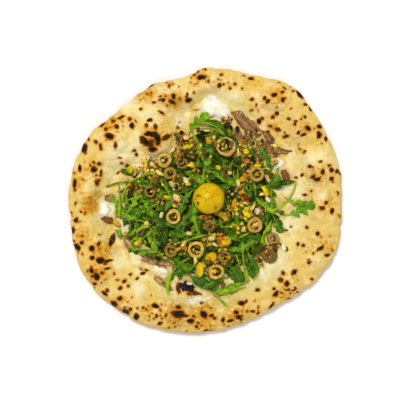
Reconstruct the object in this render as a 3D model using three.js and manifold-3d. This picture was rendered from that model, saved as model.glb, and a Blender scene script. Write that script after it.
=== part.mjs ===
// A white Neapolitan pizza, in millimetres, lying flat with +Z up and the middle of its underside at
// the origin. The dough has a wide, puffed, blistered rim. Melted cheese covers its middle, with
// thicker dollops of cheese and slices of cooked meat on it. A heap of rocket leaves and chopped nuts
// carries rings of olive, pieces of yellow tomato and one whole yellow cherry tomato.
import * as THREE from "three";
import { mergeVertices } from "three/addons/utils/BufferGeometryUtils.js";
import Module from "manifold-3d";

const wasm = await Module();
wasm.setup();

const gap = 0.3; // kept between pieces that touch
const sectors = 76; // facets round the dough
const turn = 2 * Math.PI;
const seed = 20; // of the random draws

// Lists called reach give radii evenly spaced round the middle, anticlockwise from +X.
const rim = {
  reach: [
    148.5, 151, 150.5, 151, 152, 155.5, 151, 144, 144, 142.5, 134, 136.5, 136.5, 134, 136.5, 143, 145.5, 147.5,
    148, 148, 151.5, 155, 155.5, 153, 152.5, 149.5, 147, 145, 143.3, 141, 141, 143, 148, 152.5, 153, 151,
  ],
  height: 19,
  swell: 1.6, // the crest's rise and fall, three times round
  ripple: 1.2, // the same, seven times round
  lip: 21, // from the outer edge in to the crest
  edgeHeight: 8, // of the outermost line above the table
};
const base = { thickness: 4 };
const melt = {
  reach: [
    108, 108, 107, 103, 101, 107, 113, 98, 68, 64, 84, 106,
    117, 116, 112, 109, 107, 110, 113, 112, 110, 108, 106, 106,
  ],
  thickness: 2.2,
  edge: 1, // thickness near its edge
  slope: 9, // the dough starts to rise this far inside the melt's edge
  lip: 2, // width of the sloping edge
};

// Big bubbles of the rim: place, radius and height.
const bubbles = [
  { x: -53, y: 67, radius: 22, height: 9 },
  { x: -93, y: 50, radius: 20, height: 3 },
  { x: 108, y: 76, radius: 19, height: 4 },
  { x: 76, y: 112, radius: 19, height: 4.5 },
  { x: 52, y: 103, radius: 15, height: 2.5 },
  { x: -40, y: 110, radius: 18, height: 4 },
  { x: -101, y: -46, radius: 19, height: 4.5 },
  { x: -114, y: -78, radius: 17, height: 4 },
  { x: -80, y: -112, radius: 17, height: 3 },
  { x: -28, y: -124, radius: 18, height: 4.5 },
  { x: 38, y: -121, radius: 16, height: 4 },
  { x: 88, y: -88, radius: 20, height: 4 },
  { x: 126, y: -48, radius: 17, height: 4 },
  { x: 119, y: -8, radius: 16, height: 2.5 },
  { x: 124, y: 28, radius: 16, height: 4 },
  { x: 4, y: 126, radius: 15, height: 3 },
  { x: -128, y: 10, radius: 16, height: 3.5 },
];
const bubbleShape = 1.2; // 1.5 makes softer feet, 1 a crease round them
const blister = { count: 46, smallest: 6, largest: 10, lowest: 1, highest: 2.6 };

// Thick cheese on the melt: place, length, width, turn in degrees and height.
const dollops = {
  cheese_top: { x: 10, y: 99, length: 36, width: 27, turn: -35, height: 6 },
  cheese_upper_left: { x: -27, y: 85, length: 17, width: 10, turn: 75, height: 3 },
  cheese_right: { x: 79, y: 38, length: 20, width: 13, turn: 10, height: 4 },
  cheese_left: { x: -108, y: -11, length: 17, width: 13, turn: 75, height: 4 },
  cheese_lower_left: { x: -71, y: -61, length: 13, width: 9, turn: 70, height: 3 },
  cheese_low: { x: -49, y: -78, length: 22, width: 11, turn: -15, height: 3 },
  cheese_bottom: { x: -8, y: -109, length: 32, width: 9, turn: 5, height: 2.5 },
  cheese_lower_right: { x: 62, y: -80, length: 19, width: 12, turn: 75, height: 3.5 },
  cheese_far_right: { x: 86, y: -53, length: 11, width: 8, turn: 80, height: 2.5 },
};

// Slices and shreds of cooked meat.
const slices = {
  meat_top: { x: 45, y: 83, length: 42, width: 15, turn: -42, height: 3.5 },
  meat_upper_right: { x: 70, y: 67, length: 18, width: 9, turn: -50, height: 3.5 },
  meat_upper_strip: { x: 83, y: 52, length: 24, width: 7, turn: -8, height: 2.5 },
  meat_right: { x: 88, y: 25, length: 16, width: 9, turn: -72, height: 4.5 },
  meat_left: { x: -103, y: 1, length: 12, width: 9, turn: -10, height: 3.5 },
  meat_far_left: { x: -105, y: -23, length: 15, width: 8, turn: -25, height: 4 },
  meat_lower_left: { x: -81, y: -48, length: 16, width: 10, turn: -60, height: 3 },
  meat_low: { x: -46, y: -68, length: 26, width: 8, turn: -18, height: 3.5 },
  meat_low_strip: { x: -45, y: -93, length: 28, width: 6, turn: -38, height: 2.5 },
  meat_bottom: { x: 13, y: -103, length: 11, width: 8, turn: -40, height: 3.5 },
  meat_upper_left: { x: -64, y: 27, length: 11, width: 8, turn: 60, height: 3.5 },
  burnt_flake: { x: -19, y: -95, length: 20, width: 14, turn: -20, height: 4.5 },
};

const heap = {
  reach: [79, 74, 76, 78, 66, 74, 92, 90, 80, 90, 88, 82],
  height: 16,
  lump: 1,
  settle: 1, // how far its core lies below the leaves' bed
};

// Olive rings: place, outer and hole radius, and how far one leans, towards which side.
const olives = [
  { x: -43.5, y: 42, radius: 8.8, hole: 3.5 },
  { x: -37, y: 28, radius: 7.4, hole: 3.2, lean: 18, towards: 240 },
  { x: -24, y: 38, radius: 7.2, hole: 3.4, lean: 15, towards: 90 },
  { x: 23, y: 56, radius: 11.4, hole: 7.2, lean: 16, towards: 100 },
  { x: 56, y: 27, radius: 8.8, hole: 4.2 },
  { x: -33.5, y: -19, radius: 8.5, hole: 4.4 },
  { x: -9, y: -54.5, radius: 9.6, hole: 4.8 },
  { x: 12.5, y: -78.5, radius: 9, hole: 4.6, lean: 6, towards: 250 },
  { x: 21, y: -62, radius: 7.4, hole: 3.4, lean: 20, towards: 30 },
  { x: 70.5, y: -61, radius: 8.8, hole: 2.4 },
  { x: 74, y: -43, radius: 7.2, hole: 2.8, lean: 12, towards: 0 },
  { x: 54, y: -28, radius: 9, hole: 4.2 },
  { x: -58, y: 8, radius: 7, hole: 3.4, lean: 15, towards: 180 },
  { x: -36, y: -56, radius: 7.4, hole: 3.4, lean: 16, towards: 200 },
];
const oliveThickness = 4.6;

const tomato = { x: 4.5, y: 0.5, radius: 17, squash: 0.92, sunk: 5 };
// Pieces of yellow tomato: place, length, width, turn in degrees, height, and for a crescent how far
// the bite out of its side reaches.
const wedges = {
  wedge_under: { x: 1, y: -19.5, length: 17, width: 7, turn: 2, height: 7 },
  wedge_near: { x: 18, y: -19, length: 17, width: 11, turn: -35, height: 8, bite: 5 },
  wedge_right: { x: 65, y: 7, length: 16, width: 9, turn: -68, height: 6, bite: 4 },
  wedge_middle: { x: 7, y: -63, length: 14, width: 12, turn: 30, height: 8 },
  wedge_low: { x: -5, y: -76, length: 17, width: 9, turn: 88, height: 7 },
  wedge_nutty: { x: 22, y: -46, length: 15, width: 13, turn: 20, height: 7 },
  wedge_strip: { x: 32, y: -6, length: 15, width: 7, turn: 80, height: 6 },
  wedge_left: { x: -95, y: -27, length: 11, width: 6, turn: -35, height: 5 },
};

// Leaves that stand out: where the stalk starts, heading, length, blade width and bend in degrees.
const placedLeaves = [
  { x: -80, y: 16, heading: 178, length: 32, width: 4, bend: 0 },
  { x: -20, y: 66, heading: 78, length: 32, width: 15, bend: -15 },
  { x: -14, y: 68, heading: 60, length: 52, width: 10, bend: -110 },
  { x: -81, y: 2, heading: 90, length: 36, width: 4, bend: -110 },
  { x: -82, y: 2, heading: -95, length: 46, width: 5, bend: -15 },
  { x: -63, y: 4, heading: -52, length: 48, width: 14, bend: -20 },
  { x: -16, y: 6, heading: -95, length: 50, width: 12, bend: -25 },
  { x: 62, y: 15, heading: 0, length: 36, width: 8, bend: 10 },
  { x: 76, y: -11, heading: 35, length: 40, width: 4, bend: 60 },
  { x: 71, y: -13, heading: -95, length: 36, width: 9, bend: -35 },
  { x: 72, y: -14, heading: -50, length: 24, width: 11, bend: -20 },
  { x: 67, y: -20, heading: 0, length: 51, width: 15, bend: 35 },
  { x: 41, y: -48, heading: -82, length: 44, width: 4, bend: 12 },
  { x: 24, y: -72, heading: -55, length: 32, width: 16, bend: 0 },
  { x: 25, y: -78, heading: -105, length: 36, width: 6, bend: 90 },
  { x: 16, y: -83, heading: -85, length: 41, width: 13, bend: 10 },
  { x: -2, y: -82, heading: -62, length: 34, width: 4, bend: 15 },
  { x: -23, y: -63, heading: -112, length: 47, width: 6, bend: 28 },
  { x: -44, y: -60, heading: 178, length: 32, width: 9, bend: 18 },
  { x: 0, y: -42, heading: 178, length: 52, width: 4, bend: 12 },
  { x: 38, y: 56, heading: -38, length: 42, width: 12, bend: -25 },
  { x: -3, y: 62, heading: -88, length: 40, width: 9, bend: -12 },
  { x: 2, y: 36, heading: -30, length: 36, width: 11, bend: -20 },
  { x: -22, y: -68, heading: -65, length: 38, width: 12, bend: 45 },
  { x: -84, y: -10, heading: 25, length: 36, width: 11, bend: -30 },
  { x: -46, y: 22, heading: 185, length: 40, width: 12, bend: 25 },
  { x: 28, y: 22, heading: 48, length: 36, width: 11, bend: -20 },
  { x: 44, y: -34, heading: 200, length: 40, width: 12, bend: 30 },
  { x: -54, y: -10, heading: 205, length: 38, width: 13, bend: -25 },
  { x: -70, y: -32, heading: -20, length: 38, width: 13, bend: 20 },
];
const leaf = {
  count: 33, // with the placed ones
  tries: 120,
  shortest: 30,
  longest: 50,
  narrowest: 8,
  widest: 14,
  thickness: 0.9,
  stations: 6, // along a leaf
  stemStations: 5, // along one that is mostly stalk
  stem: 6, // width below which it is mostly stalk
  stalk: 0.25, // share of the length with no blade
  stalkWidth: 1.8,
  arch: 4, // how high its middle stands off the heap
  rooted: 2.2, // how deep its stalk starts in the heap
  clear: 1, // least height over what lies below
  lifts: [0, 2, 4], // heights tried, to clear the toppings
  least: 0.6, // share of it that the toppings must leave
  lobeDepth: 0.42,
  curl: 0.3, // rise of its sides for each millimetre of width
};

// Chopped nuts: patches of them, each a place, a radius and how many.
const nutPatches = [
  { x: -54, y: 32, radius: 16, count: 5 },
  { x: -20, y: 58, radius: 14, count: 5 },
  { x: 46, y: -12, radius: 13, count: 6 },
  { x: 10, y: -48, radius: 16, count: 4 },
  { x: 40, y: 46, radius: 16, count: 4 },
  { x: -36, y: 4, radius: 16, count: 4 },
  { x: 0, y: 0, radius: 70, count: 10 },
];
const nut = { smallest: 3, largest: 5.4 };

// Random numbers from 0 to 1, the same on every run.
function draws(start) {
  let state = start;
  return () => {
    state = (state * 16807) % 2147483647;
    return state / 2147483647;
  };
}

const mix = (low, high, share) => low + (high - low) * share;
const radians = (degrees) => (degrees * Math.PI) / 180;
const polar = (radius, angle) => [radius * Math.cos(angle), radius * Math.sin(angle)];

function smooth(low, high, value) {
  const share = Math.min(1, Math.max(0, (value - low) / (high - low)));
  return share * share * (3 - 2 * share);
}

// The value at an angle of a closed smooth curve through a list spaced evenly round.
function around(list, angle) {
  const place = ((((angle / turn) % 1) + 1) % 1) * list.length;
  const first = Math.floor(place);
  const t = place - first;
  const [a, b, c, d] = [-1, 0, 1, 2].map((k) => list[(first + k + list.length) % list.length]);
  return b + 0.5 * t * (c - a + t * (2 * a - 5 * b + 4 * c - d + t * (3 * (b - c) + d - a)));
}

// The dough's sizes at an angle round the middle.
function section(angle) {
  const edge = around(rim.reach, angle);
  const swell = rim.swell * Math.sin(3 * angle + 0.6);
  const ripple = rim.ripple * Math.sin(7 * angle + 2);
  return {
    edge,
    crest: edge - rim.lip,
    meltEdge: around(melt.reach, angle),
    height: rim.height + swell + ripple,
  };
}

// Small blisters, scattered over the rim.
function blisters() {
  const next = draws(seed);
  return Array.from({ length: blister.count }, (_, i) => {
    const angle = (turn * (i + 0.8 * next())) / blister.count;
    const s = section(angle);
    const [x, y] = polar(mix(s.meltEdge + 6, s.edge - 8, next()), angle);
    const radius = mix(blister.smallest, blister.largest, next());
    return { x, y, radius, height: mix(blister.lowest, blister.highest, next()) };
  });
}

const swellings = [...bubbles, ...blisters()];

function bubbleRise(x, y) {
  let rise = 0;
  for (const bubble of swellings) {
    const share = ((x - bubble.x) ** 2 + (y - bubble.y) ** 2) / bubble.radius ** 2;
    if (share < 1) rise += bubble.height * (1 - share) ** bubbleShape;
  }
  return rise;
}

function doughTop(x, y) {
  const r = Math.hypot(x, y);
  const s = section(Math.atan2(y, x));
  const foot = s.meltEdge - melt.slope;
  let z = mix(base.thickness, s.height, smooth(foot, s.crest, r));
  if (r > s.crest) {
    const out = Math.min(1, (r - s.crest) / rim.lip);
    z = rim.edgeHeight + (s.height - rim.edgeHeight) * Math.sqrt(1 - out * out);
  }
  const onRim = smooth(s.meltEdge - 5, s.meltEdge + 6, r) * (1 - smooth(s.edge - 6, s.edge, r));
  return z + onRim * bubbleRise(x, y);
}

// The top of the melt, or of the dough where no melt is.
function tableTop(x, y) {
  const r = Math.hypot(x, y);
  const s = section(Math.atan2(y, x));
  if (r >= s.meltEdge) return doughTop(x, y);
  const full = smooth(s.meltEdge, s.meltEdge - melt.slope, r);
  return doughTop(x, y) + gap + mix(melt.edge, melt.thickness, full);
}

function heapTop(x, y) {
  const share = Math.hypot(x, y) / around(heap.reach, Math.atan2(y, x));
  if (share >= 1) return 0;
  const lumps = Math.sin(x / 9 + 1) + Math.sin(y / 10 - x / 17) + Math.sin((x + y) / 12);
  const rise = (1 - share ** 2.6) ** 0.7;
  return base.thickness + melt.thickness + heap.height * rise + heap.lump * lumps * (1 - share);
}

// The height on which a topping at a place rests: the heap, or the table beside it.
const restHeight = (x, y) => Math.max(tableTop(x, y) + gap, heapTop(x, y));

// A closed surface from a point below, through rings that go round anticlockwise, to a point above.
// Every facet is split from its outer corner to its inner corner, anticlockwise.
function shell(bottom, rings, top) {
  const count = rings[0].length;
  const points = [bottom, ...rings.flat(), top];
  const last = points.length - 1;
  const index = [];
  for (let i = 0; i < count; i++) {
    const j = (i + 1) % count;
    index.push(0, 1 + j, 1 + i);
    for (let k = 0; k < rings.length - 1; k++) {
      const [a, b] = [1 + k * count + i, 1 + k * count + j];
      const [c, d] = [b + count, a + count];
      const inward = Math.hypot(...points[a].slice(0, 2)) >= Math.hypot(...points[d].slice(0, 2));
      index.push(...(inward ? [a, b, c, a, c, d] : [a, b, d, b, c, d]));
    }
    index.push(last - count + i, last - count + j, last);
  }
  const geometry = new THREE.BufferGeometry();
  geometry.setAttribute("position", new THREE.Float32BufferAttribute(points.flat(), 3));
  geometry.setIndex(index);
  return geometry;
}

function solidOf(geometry) {
  const bare = geometry.clone();
  bare.deleteAttribute("normal");
  bare.deleteAttribute("uv");
  const merged = mergeVertices(bare, 1e-4);
  return new wasm.Manifold(
    new wasm.Mesh({
      numProp: 3,
      vertProperties: merged.attributes.position.array,
      triVerts: new Uint32Array(merged.index.array),
    }),
  );
}

function geometryOf(solid) {
  const mesh = solid.getMesh();
  const geometry = new THREE.BufferGeometry();
  geometry.setAttribute("position", new THREE.BufferAttribute(mesh.vertProperties, 3));
  geometry.setIndex(new THREE.BufferAttribute(mesh.triVerts, 1));
  geometry.computeVertexNormals();
  return geometry;
}

// The largest body of a solid, without loose scraps and slivers.
function mainBody(solid) {
  const bodies = solid.simplify(0.05).decompose();
  return bodies.sort((a, b) => b.volume() - a.volume())[0];
}

function ringOf(radiusAt, heightAt) {
  return Array.from({ length: sectors }, (_, i) => {
    const angle = (turn * i) / sectors;
    const [x, y] = polar(radiusAt(section(angle)), angle);
    return [x, y, heightAt(x, y)];
  });
}

const meltRadii = [(s) => s.meltEdge - melt.lip, (s) => s.meltEdge - melt.slope];

// Rings of the dough's top, lifted, from the widest line in to the melt's edge.
function rimRings(lift) {
  const top = (x, y) => doughTop(x, y) + lift;
  const falling = [90, 75, 55, 30].map((degrees) =>
    ringOf((s) => s.crest + rim.lip * Math.sin(radians(degrees)) - 1e-3, top),
  );
  const rising = [1, 0.8, 0.58, 0.35, 0.16].map((share) =>
    ringOf((s) => mix(s.meltEdge, s.crest, share), top),
  );
  return [...falling, ...rising, ringOf((s) => s.meltEdge - 1e-3, top)];
}

const doughFoot = (lift) => ringOf((s) => s.meltEdge - melt.slope, () => base.thickness + lift);

function doughGeometry() {
  const under = [90, 60, 30].map((degrees) => {
    const lift = rim.edgeHeight * (1 - Math.sin(radians(degrees)));
    return ringOf((s) => s.crest + rim.lip * Math.cos(radians(degrees)), () => lift);
  });
  return shell([0, 0, 0], [...under, ...rimRings(0), doughFoot(0)], [0, 0, base.thickness]);
}

function meltGeometry() {
  const edge = ringOf((s) => s.meltEdge - 1e-3, (x, y) => doughTop(x, y) + gap);
  const top = meltRadii.map((radiusAt) => ringOf(radiusAt, tableTop));
  const rings = [doughFoot(gap), edge, ...top];
  return shell([0, 0, base.thickness + gap], rings, [0, 0, tableTop(0, 0)]);
}

// Dough and melt together, a gap higher, to trim what lies on them.
function tableCutter() {
  const skirt = ringOf((s) => s.edge, () => -20);
  const lifted = (x, y) => tableTop(x, y) + gap;
  const inner = meltRadii.map((radiusAt) => ringOf(radiusAt, lifted));
  const rings = [skirt, ...rimRings(gap), ...inner];
  return solidOf(shell([0, 0, -20], rings, [0, 0, lifted(0, 0)]));
}

// A low uneven mound on the table: longer one way, with a wavy outline and sloping sides.
function mound(spec, grow, wobble, facets) {
  const next = draws(seed + Math.round(Math.abs(7 * spec.x + 13 * spec.y)));
  const phases = [2, 3, 5].map(() => turn * next());
  const along = radians(spec.turn);
  const ring = (share, heightAt) =>
    Array.from({ length: facets }, (_, i) => {
      const angle = (turn * i) / facets;
      const waves = [2, 3, 5].map((n, k) => Math.sin(n * angle + phases[k]));
      const out = share * (1 + wobble * (waves[0] + waves[1] + waves[2]));
      const u = (spec.length / 2 + grow) * out * Math.cos(angle);
      const v = (spec.width / 2 + grow) * out * Math.sin(angle);
      const x = spec.x + u * Math.cos(along) - v * Math.sin(along);
      const y = spec.y + u * Math.sin(along) + v * Math.cos(along);
      return [x, y, heightAt(x, y)];
    });
  const low = (x, y) => tableTop(x, y) - 2.5;
  const high = (share) => (x, y) =>
    tableTop(x, y) + grow + gap + spec.height * share * (1 + 0.14 * Math.sin(x / 2.3 + y / 3.1));
  const rings = [ring(1.05, low), ring(0.94, high(0.45)), ring(0.62, high(1))];
  const middle = [spec.x, spec.y];
  return solidOf(shell([...middle, low(...middle)], rings, [...middle, high(0.92)(...middle)]));
}

function heapCore() {
  const facets = 30;
  const ring = (share, heightAt) =>
    Array.from({ length: facets }, (_, i) => {
      const angle = (turn * i) / facets;
      const [x, y] = polar(share * around(heap.reach, angle), angle);
      return [x, y, heightAt(x, y)];
    });
  const low = (x, y) => tableTop(x, y) - 1.5;
  const bed = (x, y) => heapTop(x, y) - heap.settle;
  const upper = [0.97, 0.85, 0.62, 0.34].map((share) => ring(share, bed));
  return solidOf(shell([0, 0, 3], [ring(1, low), ...upper], [0, 0, bed(0, 0)]));
}

// Turns a piece about a level axis so that it leans, then moves it to its place and height.
function laid(geometry, spec, z) {
  const towards = radians(spec.towards ?? 0);
  const axis = new THREE.Vector3(-Math.sin(towards), Math.cos(towards), 0);
  const lean = radians(spec.lean ?? 0);
  geometry.applyQuaternion(new THREE.Quaternion().setFromAxisAngle(axis, lean));
  return solidOf(geometry.translate(spec.x, spec.y, z));
}

// An olive ring, or when grown a plain drum that clears it.
function oliveRing(spec, grow) {
  const half = oliveThickness / 2 + grow;
  const outer = spec.radius + grow;
  const skin = 0.86 * outer;
  const ring = [[spec.hole, -half], [skin, -half], [outer, 0], [skin, half], [spec.hole, half]];
  const drum = [[0, -half], [outer, -half], [outer, half], [0, half]];
  const profile = grow ? drum : [...ring, ring[0]];
  const points = profile.map(([r, z]) => new THREE.Vector2(r, z));
  const lean = radians(spec.lean ?? 0);
  const raise = half * Math.cos(lean) + 0.5 * spec.radius * Math.sin(lean) - 1;
  const geometry = new THREE.LatheGeometry(points, 10).rotateX(Math.PI / 2);
  return laid(geometry, spec, restHeight(spec.x, spec.y) + raise - grow * Math.cos(lean));
}

function lump(lengths, wide, high, grow) {
  const ball = new THREE.SphereGeometry(1, wide, high).rotateX(Math.PI / 2);
  return ball.scale(...lengths.map((length) => length + grow));
}

function wholeTomato(grow) {
  const lengths = [tomato.radius, tomato.radius, tomato.radius * tomato.squash];
  const z = heapTop(tomato.x, tomato.y) + lengths[2] - tomato.sunk;
  return laid(lump(lengths, 15, 9, grow), tomato, z);
}

// A piece of tomato: an uneven lump, with a bite out of its side if it is a crescent.
function wedge(spec, grow) {
  const lengths = [spec.length / 2, spec.width / 2, spec.height / 2];
  const shape = () => lump(lengths, 9, 5, grow).rotateZ(radians(spec.turn));
  const z = restHeight(spec.x, spec.y) + 0.3 * spec.height;
  const whole = laid(shape(), spec, z);
  if (grow || !spec.bite) return whole;
  const [x, y] = polar(spec.width - spec.bite, radians(spec.turn - 90));
  const bite = { x: spec.x + x, y: spec.y + y };
  return whole.subtract(laid(shape().scale(1, 1, 2), bite, z));
}

// The height that a leaf clears: that on which a topping would rest, or a slice or dollop.
function coverHeight(x, y) {
  let cover = restHeight(x, y);
  for (const spec of [...Object.values(slices), ...Object.values(dollops)]) {
    const along = radians(spec.turn);
    const [dx, dy] = [x - spec.x, y - spec.y];
    const u = (dx * Math.cos(along) + dy * Math.sin(along)) / (spec.length / 2);
    const v = (dy * Math.cos(along) - dx * Math.sin(along)) / (spec.width / 2);
    const over = 1 - smooth(1, 1.5, Math.hypot(u, v));
    if (over > 0) cover = Math.max(cover, tableTop(x, y) + gap + over * (1.2 * spec.height + 1));
  }
  return cover;
}

// A leaf: a bent, arched strip of one thickness that widens into lobes, its sides turned up.
function leafSolid(spec, lift) {
  const stations = spec.width > leaf.stem ? leaf.stations : leaf.stemStations;
  const step = spec.length / stations;
  const tilt = Math.sin(spec.x + 2 * spec.y);
  let [x, y] = [spec.x, spec.y];
  const upper = [];
  for (let i = 0; i <= stations; i++) {
    const t = i / stations;
    const heading = radians(spec.heading + spec.bend * (t - 0.3));
    const blade = Math.sin(Math.PI * Math.min(1, Math.max(0, (t - leaf.stalk) / (1.1 - leaf.stalk))));
    const lobe = i % 2 ? 1 : 1 - leaf.lobeDepth;
    const half = Math.max(leaf.stalkWidth / 2, (spec.width / 2) * blade ** 0.5 * lobe);
    const arch = t < 0.1 ? -leaf.rooted : leaf.clear + leaf.arch * Math.sin(Math.PI * t);
    const middle = coverHeight(x, y) + arch + lift;
    for (const across of [-1, 0, 1]) {
      const side = half * across;
      const spot = [x - side * Math.sin(heading), y + side * Math.cos(heading)];
      const turned = middle + leaf.curl * half * (Math.abs(across) + tilt * across);
      const clear = coverHeight(...spot) + leaf.clear + lift;
      upper.push([...spot, (t < 0.1 ? turned : Math.max(turned, clear)) + leaf.thickness]);
    }
    x += step * Math.cos(heading);
    y += step * Math.sin(heading);
  }
  const under = upper.length;
  const index = [];
  const face = (a, b, c, d) => {
    index.push(a, b, c, a, c, d);
  };
  for (let i = 0; i < stations; i++) {
    for (const a of [3 * i, 3 * i + 1]) {
      face(a, a + 3, a + 4, a + 1);
      face(under + a + 1, under + a + 4, under + a + 3, under + a);
    }
    face(3 * i, under + 3 * i, under + 3 * i + 3, 3 * i + 3);
    face(3 * i + 5, under + 3 * i + 5, under + 3 * i + 2, 3 * i + 2);
  }
  const end = 3 * stations;
  for (const [a, b] of [[1, 0], [2, 1], [end, end + 1], [end + 1, end + 2]]) {
    face(a, under + a, under + b, b);
  }
  const lower = upper.map(([px, py, pz]) => [px, py, pz - leaf.thickness]);
  const geometry = new THREE.BufferGeometry();
  const points = [...upper, ...lower].flat();
  geometry.setAttribute("position", new THREE.Float32BufferAttribute(points, 3));
  geometry.setIndex(index);
  return solidOf(geometry);
}

// Placed leaves first, then others that start anywhere on the heap and lie any way round.
function leafSpecs(next) {
  const others = Array.from({ length: leaf.tries }, () => {
    const angle = turn * next();
    const [x, y] = polar(0.85 * around(heap.reach, angle) * Math.sqrt(next()), angle);
    const heading = 360 * next();
    const length = mix(leaf.shortest, leaf.longest, next());
    const width = mix(leaf.narrowest, leaf.widest, next());
    return { x, y, heading, length, width, bend: mix(-60, 60, next()) };
  });
  return [...placedLeaves, ...others];
}

// What the toppings leave of a leaf, at the first height where most of it is left, or nothing.
function clearLeaf(spec, core, obstacles) {
  for (const lift of leaf.lifts) {
    const whole = leafSolid(spec, lift);
    const left = mainBody(whole.subtract(obstacles));
    const enough = left.volume() > leaf.least * whole.volume();
    if (enough && !left.intersect(core).isEmpty()) return left;
  }
  return null;
}

function nutSolid(x, y, next) {
  const size = mix(nut.smallest, nut.largest, next());
  const crumb = new THREE.BoxGeometry(size, size * mix(0.5, 0.9, next()), size * 0.6);
  crumb.rotateX(next()).rotateY(0.6 * next()).rotateZ(turn * next());
  return solidOf(crumb.translate(x, y, heapTop(x, y) + 0.15 * size));
}

// The heap: its core with the leaves and nuts that clear the toppings.
function greensSolid(core, obstacles) {
  const next = draws(seed);
  let heaped = core;
  let leaves = 0;
  for (const spec of leafSpecs(next)) {
    const solid = leaves < leaf.count && clearLeaf(spec, core, obstacles);
    if (solid) {
      heaped = heaped.add(solid);
      leaves += 1;
    }
  }
  for (const patch of nutPatches) {
    let left = patch.count;
    while (left > 0) {
      const [x, y] = polar(patch.radius * Math.sqrt(next()), turn * next());
      const crumb = nutSolid(patch.x + x, patch.y + y, next);
      if (crumb.intersect(obstacles).isEmpty() && !crumb.intersect(core).isEmpty()) {
        heaped = heaped.add(crumb);
        left -= 1;
      }
    }
  }
  return mainBody(heaped);
}

const colours = {
  dough: { color: 0xe6c98a, roughness: 0.8 },
  melt: { color: 0xe6d8a8, roughness: 0.45 },
  cheese: { color: 0xf4f1e2, roughness: 0.4 },
  meat: { color: 0x8c6848, roughness: 0.6 },
  burnt: { color: 0x241c1a, roughness: 0.6 },
  greens: { color: 0x4f8020, roughness: 0.6 },
  olive: { color: 0xb79b4a, roughness: 0.35 },
  tomato: { color: 0xdcb414, roughness: 0.25 },
};

const pizza = new THREE.Group();

function add(name, geometry, colour) {
  const material = new THREE.MeshStandardMaterial({ ...colours[colour], metalness: 0 });
  const mesh = new THREE.Mesh(geometry, material);
  mesh.name = name;
  pizza.add(mesh);
}

add("dough", doughGeometry(), "dough");
add("cheese_melt", meltGeometry(), "melt");

const table = tableCutter();
let obstacles = table; // with each topping laid so far, a gap larger all round

// Adds a topping, trimmed by the table and by the toppings laid before it.
function lay(name, solidAt, colour) {
  add(name, geometryOf(mainBody(solidAt(0).subtract(obstacles))), colour);
  obstacles = obstacles.add(solidAt(gap));
}

olives.forEach((spec, i) => {
  const number = String(i + 1).padStart(2, "0");
  lay(`olive_${number}`, (grow) => oliveRing(spec, grow), "olive");
});
lay("tomato_whole", wholeTomato, "tomato");
for (const [name, spec] of Object.entries(wedges)) {
  lay(name, (grow) => wedge(spec, grow), "tomato");
}
for (const [name, spec] of Object.entries(slices)) {
  lay(name, (grow) => mound(spec, grow, 0.05, 10), name === "burnt_flake" ? "burnt" : "meat");
}
for (const [name, spec] of Object.entries(dollops)) {
  lay(name, (grow) => mound(spec, grow, 0.06, 12), "cheese");
}

const core = mainBody(heapCore().subtract(obstacles));
add("greens_heap", geometryOf(greensSolid(core, obstacles)), "greens");

export default pizza;
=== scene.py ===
# The looks of a white neapolitan pizza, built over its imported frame.
import itertools
import math

import bpy
import numpy as np
from mathutils import Matrix, Quaternion, Vector


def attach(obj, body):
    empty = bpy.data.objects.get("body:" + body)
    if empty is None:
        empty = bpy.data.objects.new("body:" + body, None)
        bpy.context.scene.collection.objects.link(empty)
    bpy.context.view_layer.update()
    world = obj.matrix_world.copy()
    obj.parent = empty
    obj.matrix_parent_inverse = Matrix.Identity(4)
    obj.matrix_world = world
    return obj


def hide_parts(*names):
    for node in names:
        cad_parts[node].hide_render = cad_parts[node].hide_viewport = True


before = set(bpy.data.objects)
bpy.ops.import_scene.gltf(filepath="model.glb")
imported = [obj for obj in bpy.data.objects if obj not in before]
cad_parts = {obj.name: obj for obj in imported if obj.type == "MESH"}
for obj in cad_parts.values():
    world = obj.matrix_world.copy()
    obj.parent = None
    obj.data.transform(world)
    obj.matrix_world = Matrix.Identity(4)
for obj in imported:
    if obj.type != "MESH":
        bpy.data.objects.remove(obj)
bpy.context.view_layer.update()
print("frame loaded:", len(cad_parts), "nodes")

mm = 0.001
turn = 2 * math.pi


# plain sums that the pieces share

def mix(low, high, share):
    return low + (high - low) * share


def smooth(low, high, value):  # 0 up to low, 1 from high on, soft between
    share = np.clip((value - low) / (high - low), 0, 1)
    return share * share * (3 - 2 * share)


def around(reach, angle):  # closed curve through radii evenly spaced round the middle
    reach = np.asarray(reach, float)
    place = (angle / turn % 1) * len(reach)
    first = np.floor(place).astype(int)
    t = place - first
    a, b, c, d = (reach[(first + k) % len(reach)] for k in (-1, 0, 1, 2))
    return b + 0.5 * t * (c - a + t * (2 * a - 5 * b + 4 * c - d + t * (3 * (b - c) + d - a)))


def grain(points, size, seed=0):  # soft noise from -1 to 1, lumps about size mm wide
    cells = np.asarray(points, float) / size + 1000.5
    low = np.floor(cells).astype(np.int64)
    part = cells - low
    part = part * part * (3 - 2 * part)
    total = np.zeros(len(cells))
    for corner in itertools.product((0, 1), repeat=3):
        spot = low + corner
        mixed = spot[:, 0] * 73856093 ^ spot[:, 1] * 19349663 ^ spot[:, 2] * 83492791 ^ (seed + 7) * 40503
        mixed = (mixed ^ mixed >> 13) * 1274126177 & 0x7FFFFFFF
        mixed = (mixed ^ mixed >> 15) * 40503 & 0xFFFFF
        total += np.prod(np.where(corner, part, 1 - part), axis=1) * mixed
    return total / 0xFFFFF * 2 - 1


def flat(x, y):  # places on the table, for grain
    return np.stack([x, y, np.zeros_like(x)], axis=1)


def onCircle(angle, radius, up=0):  # places for grain that runs round an edge
    return np.stack([radius * np.cos(angle), radius * np.sin(angle), up + 0 * angle], axis=1)


def rotated(x, y, degrees):
    c, s = math.cos(math.radians(degrees)), math.sin(math.radians(degrees))
    return x * c - y * s, x * s + y * c


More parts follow.
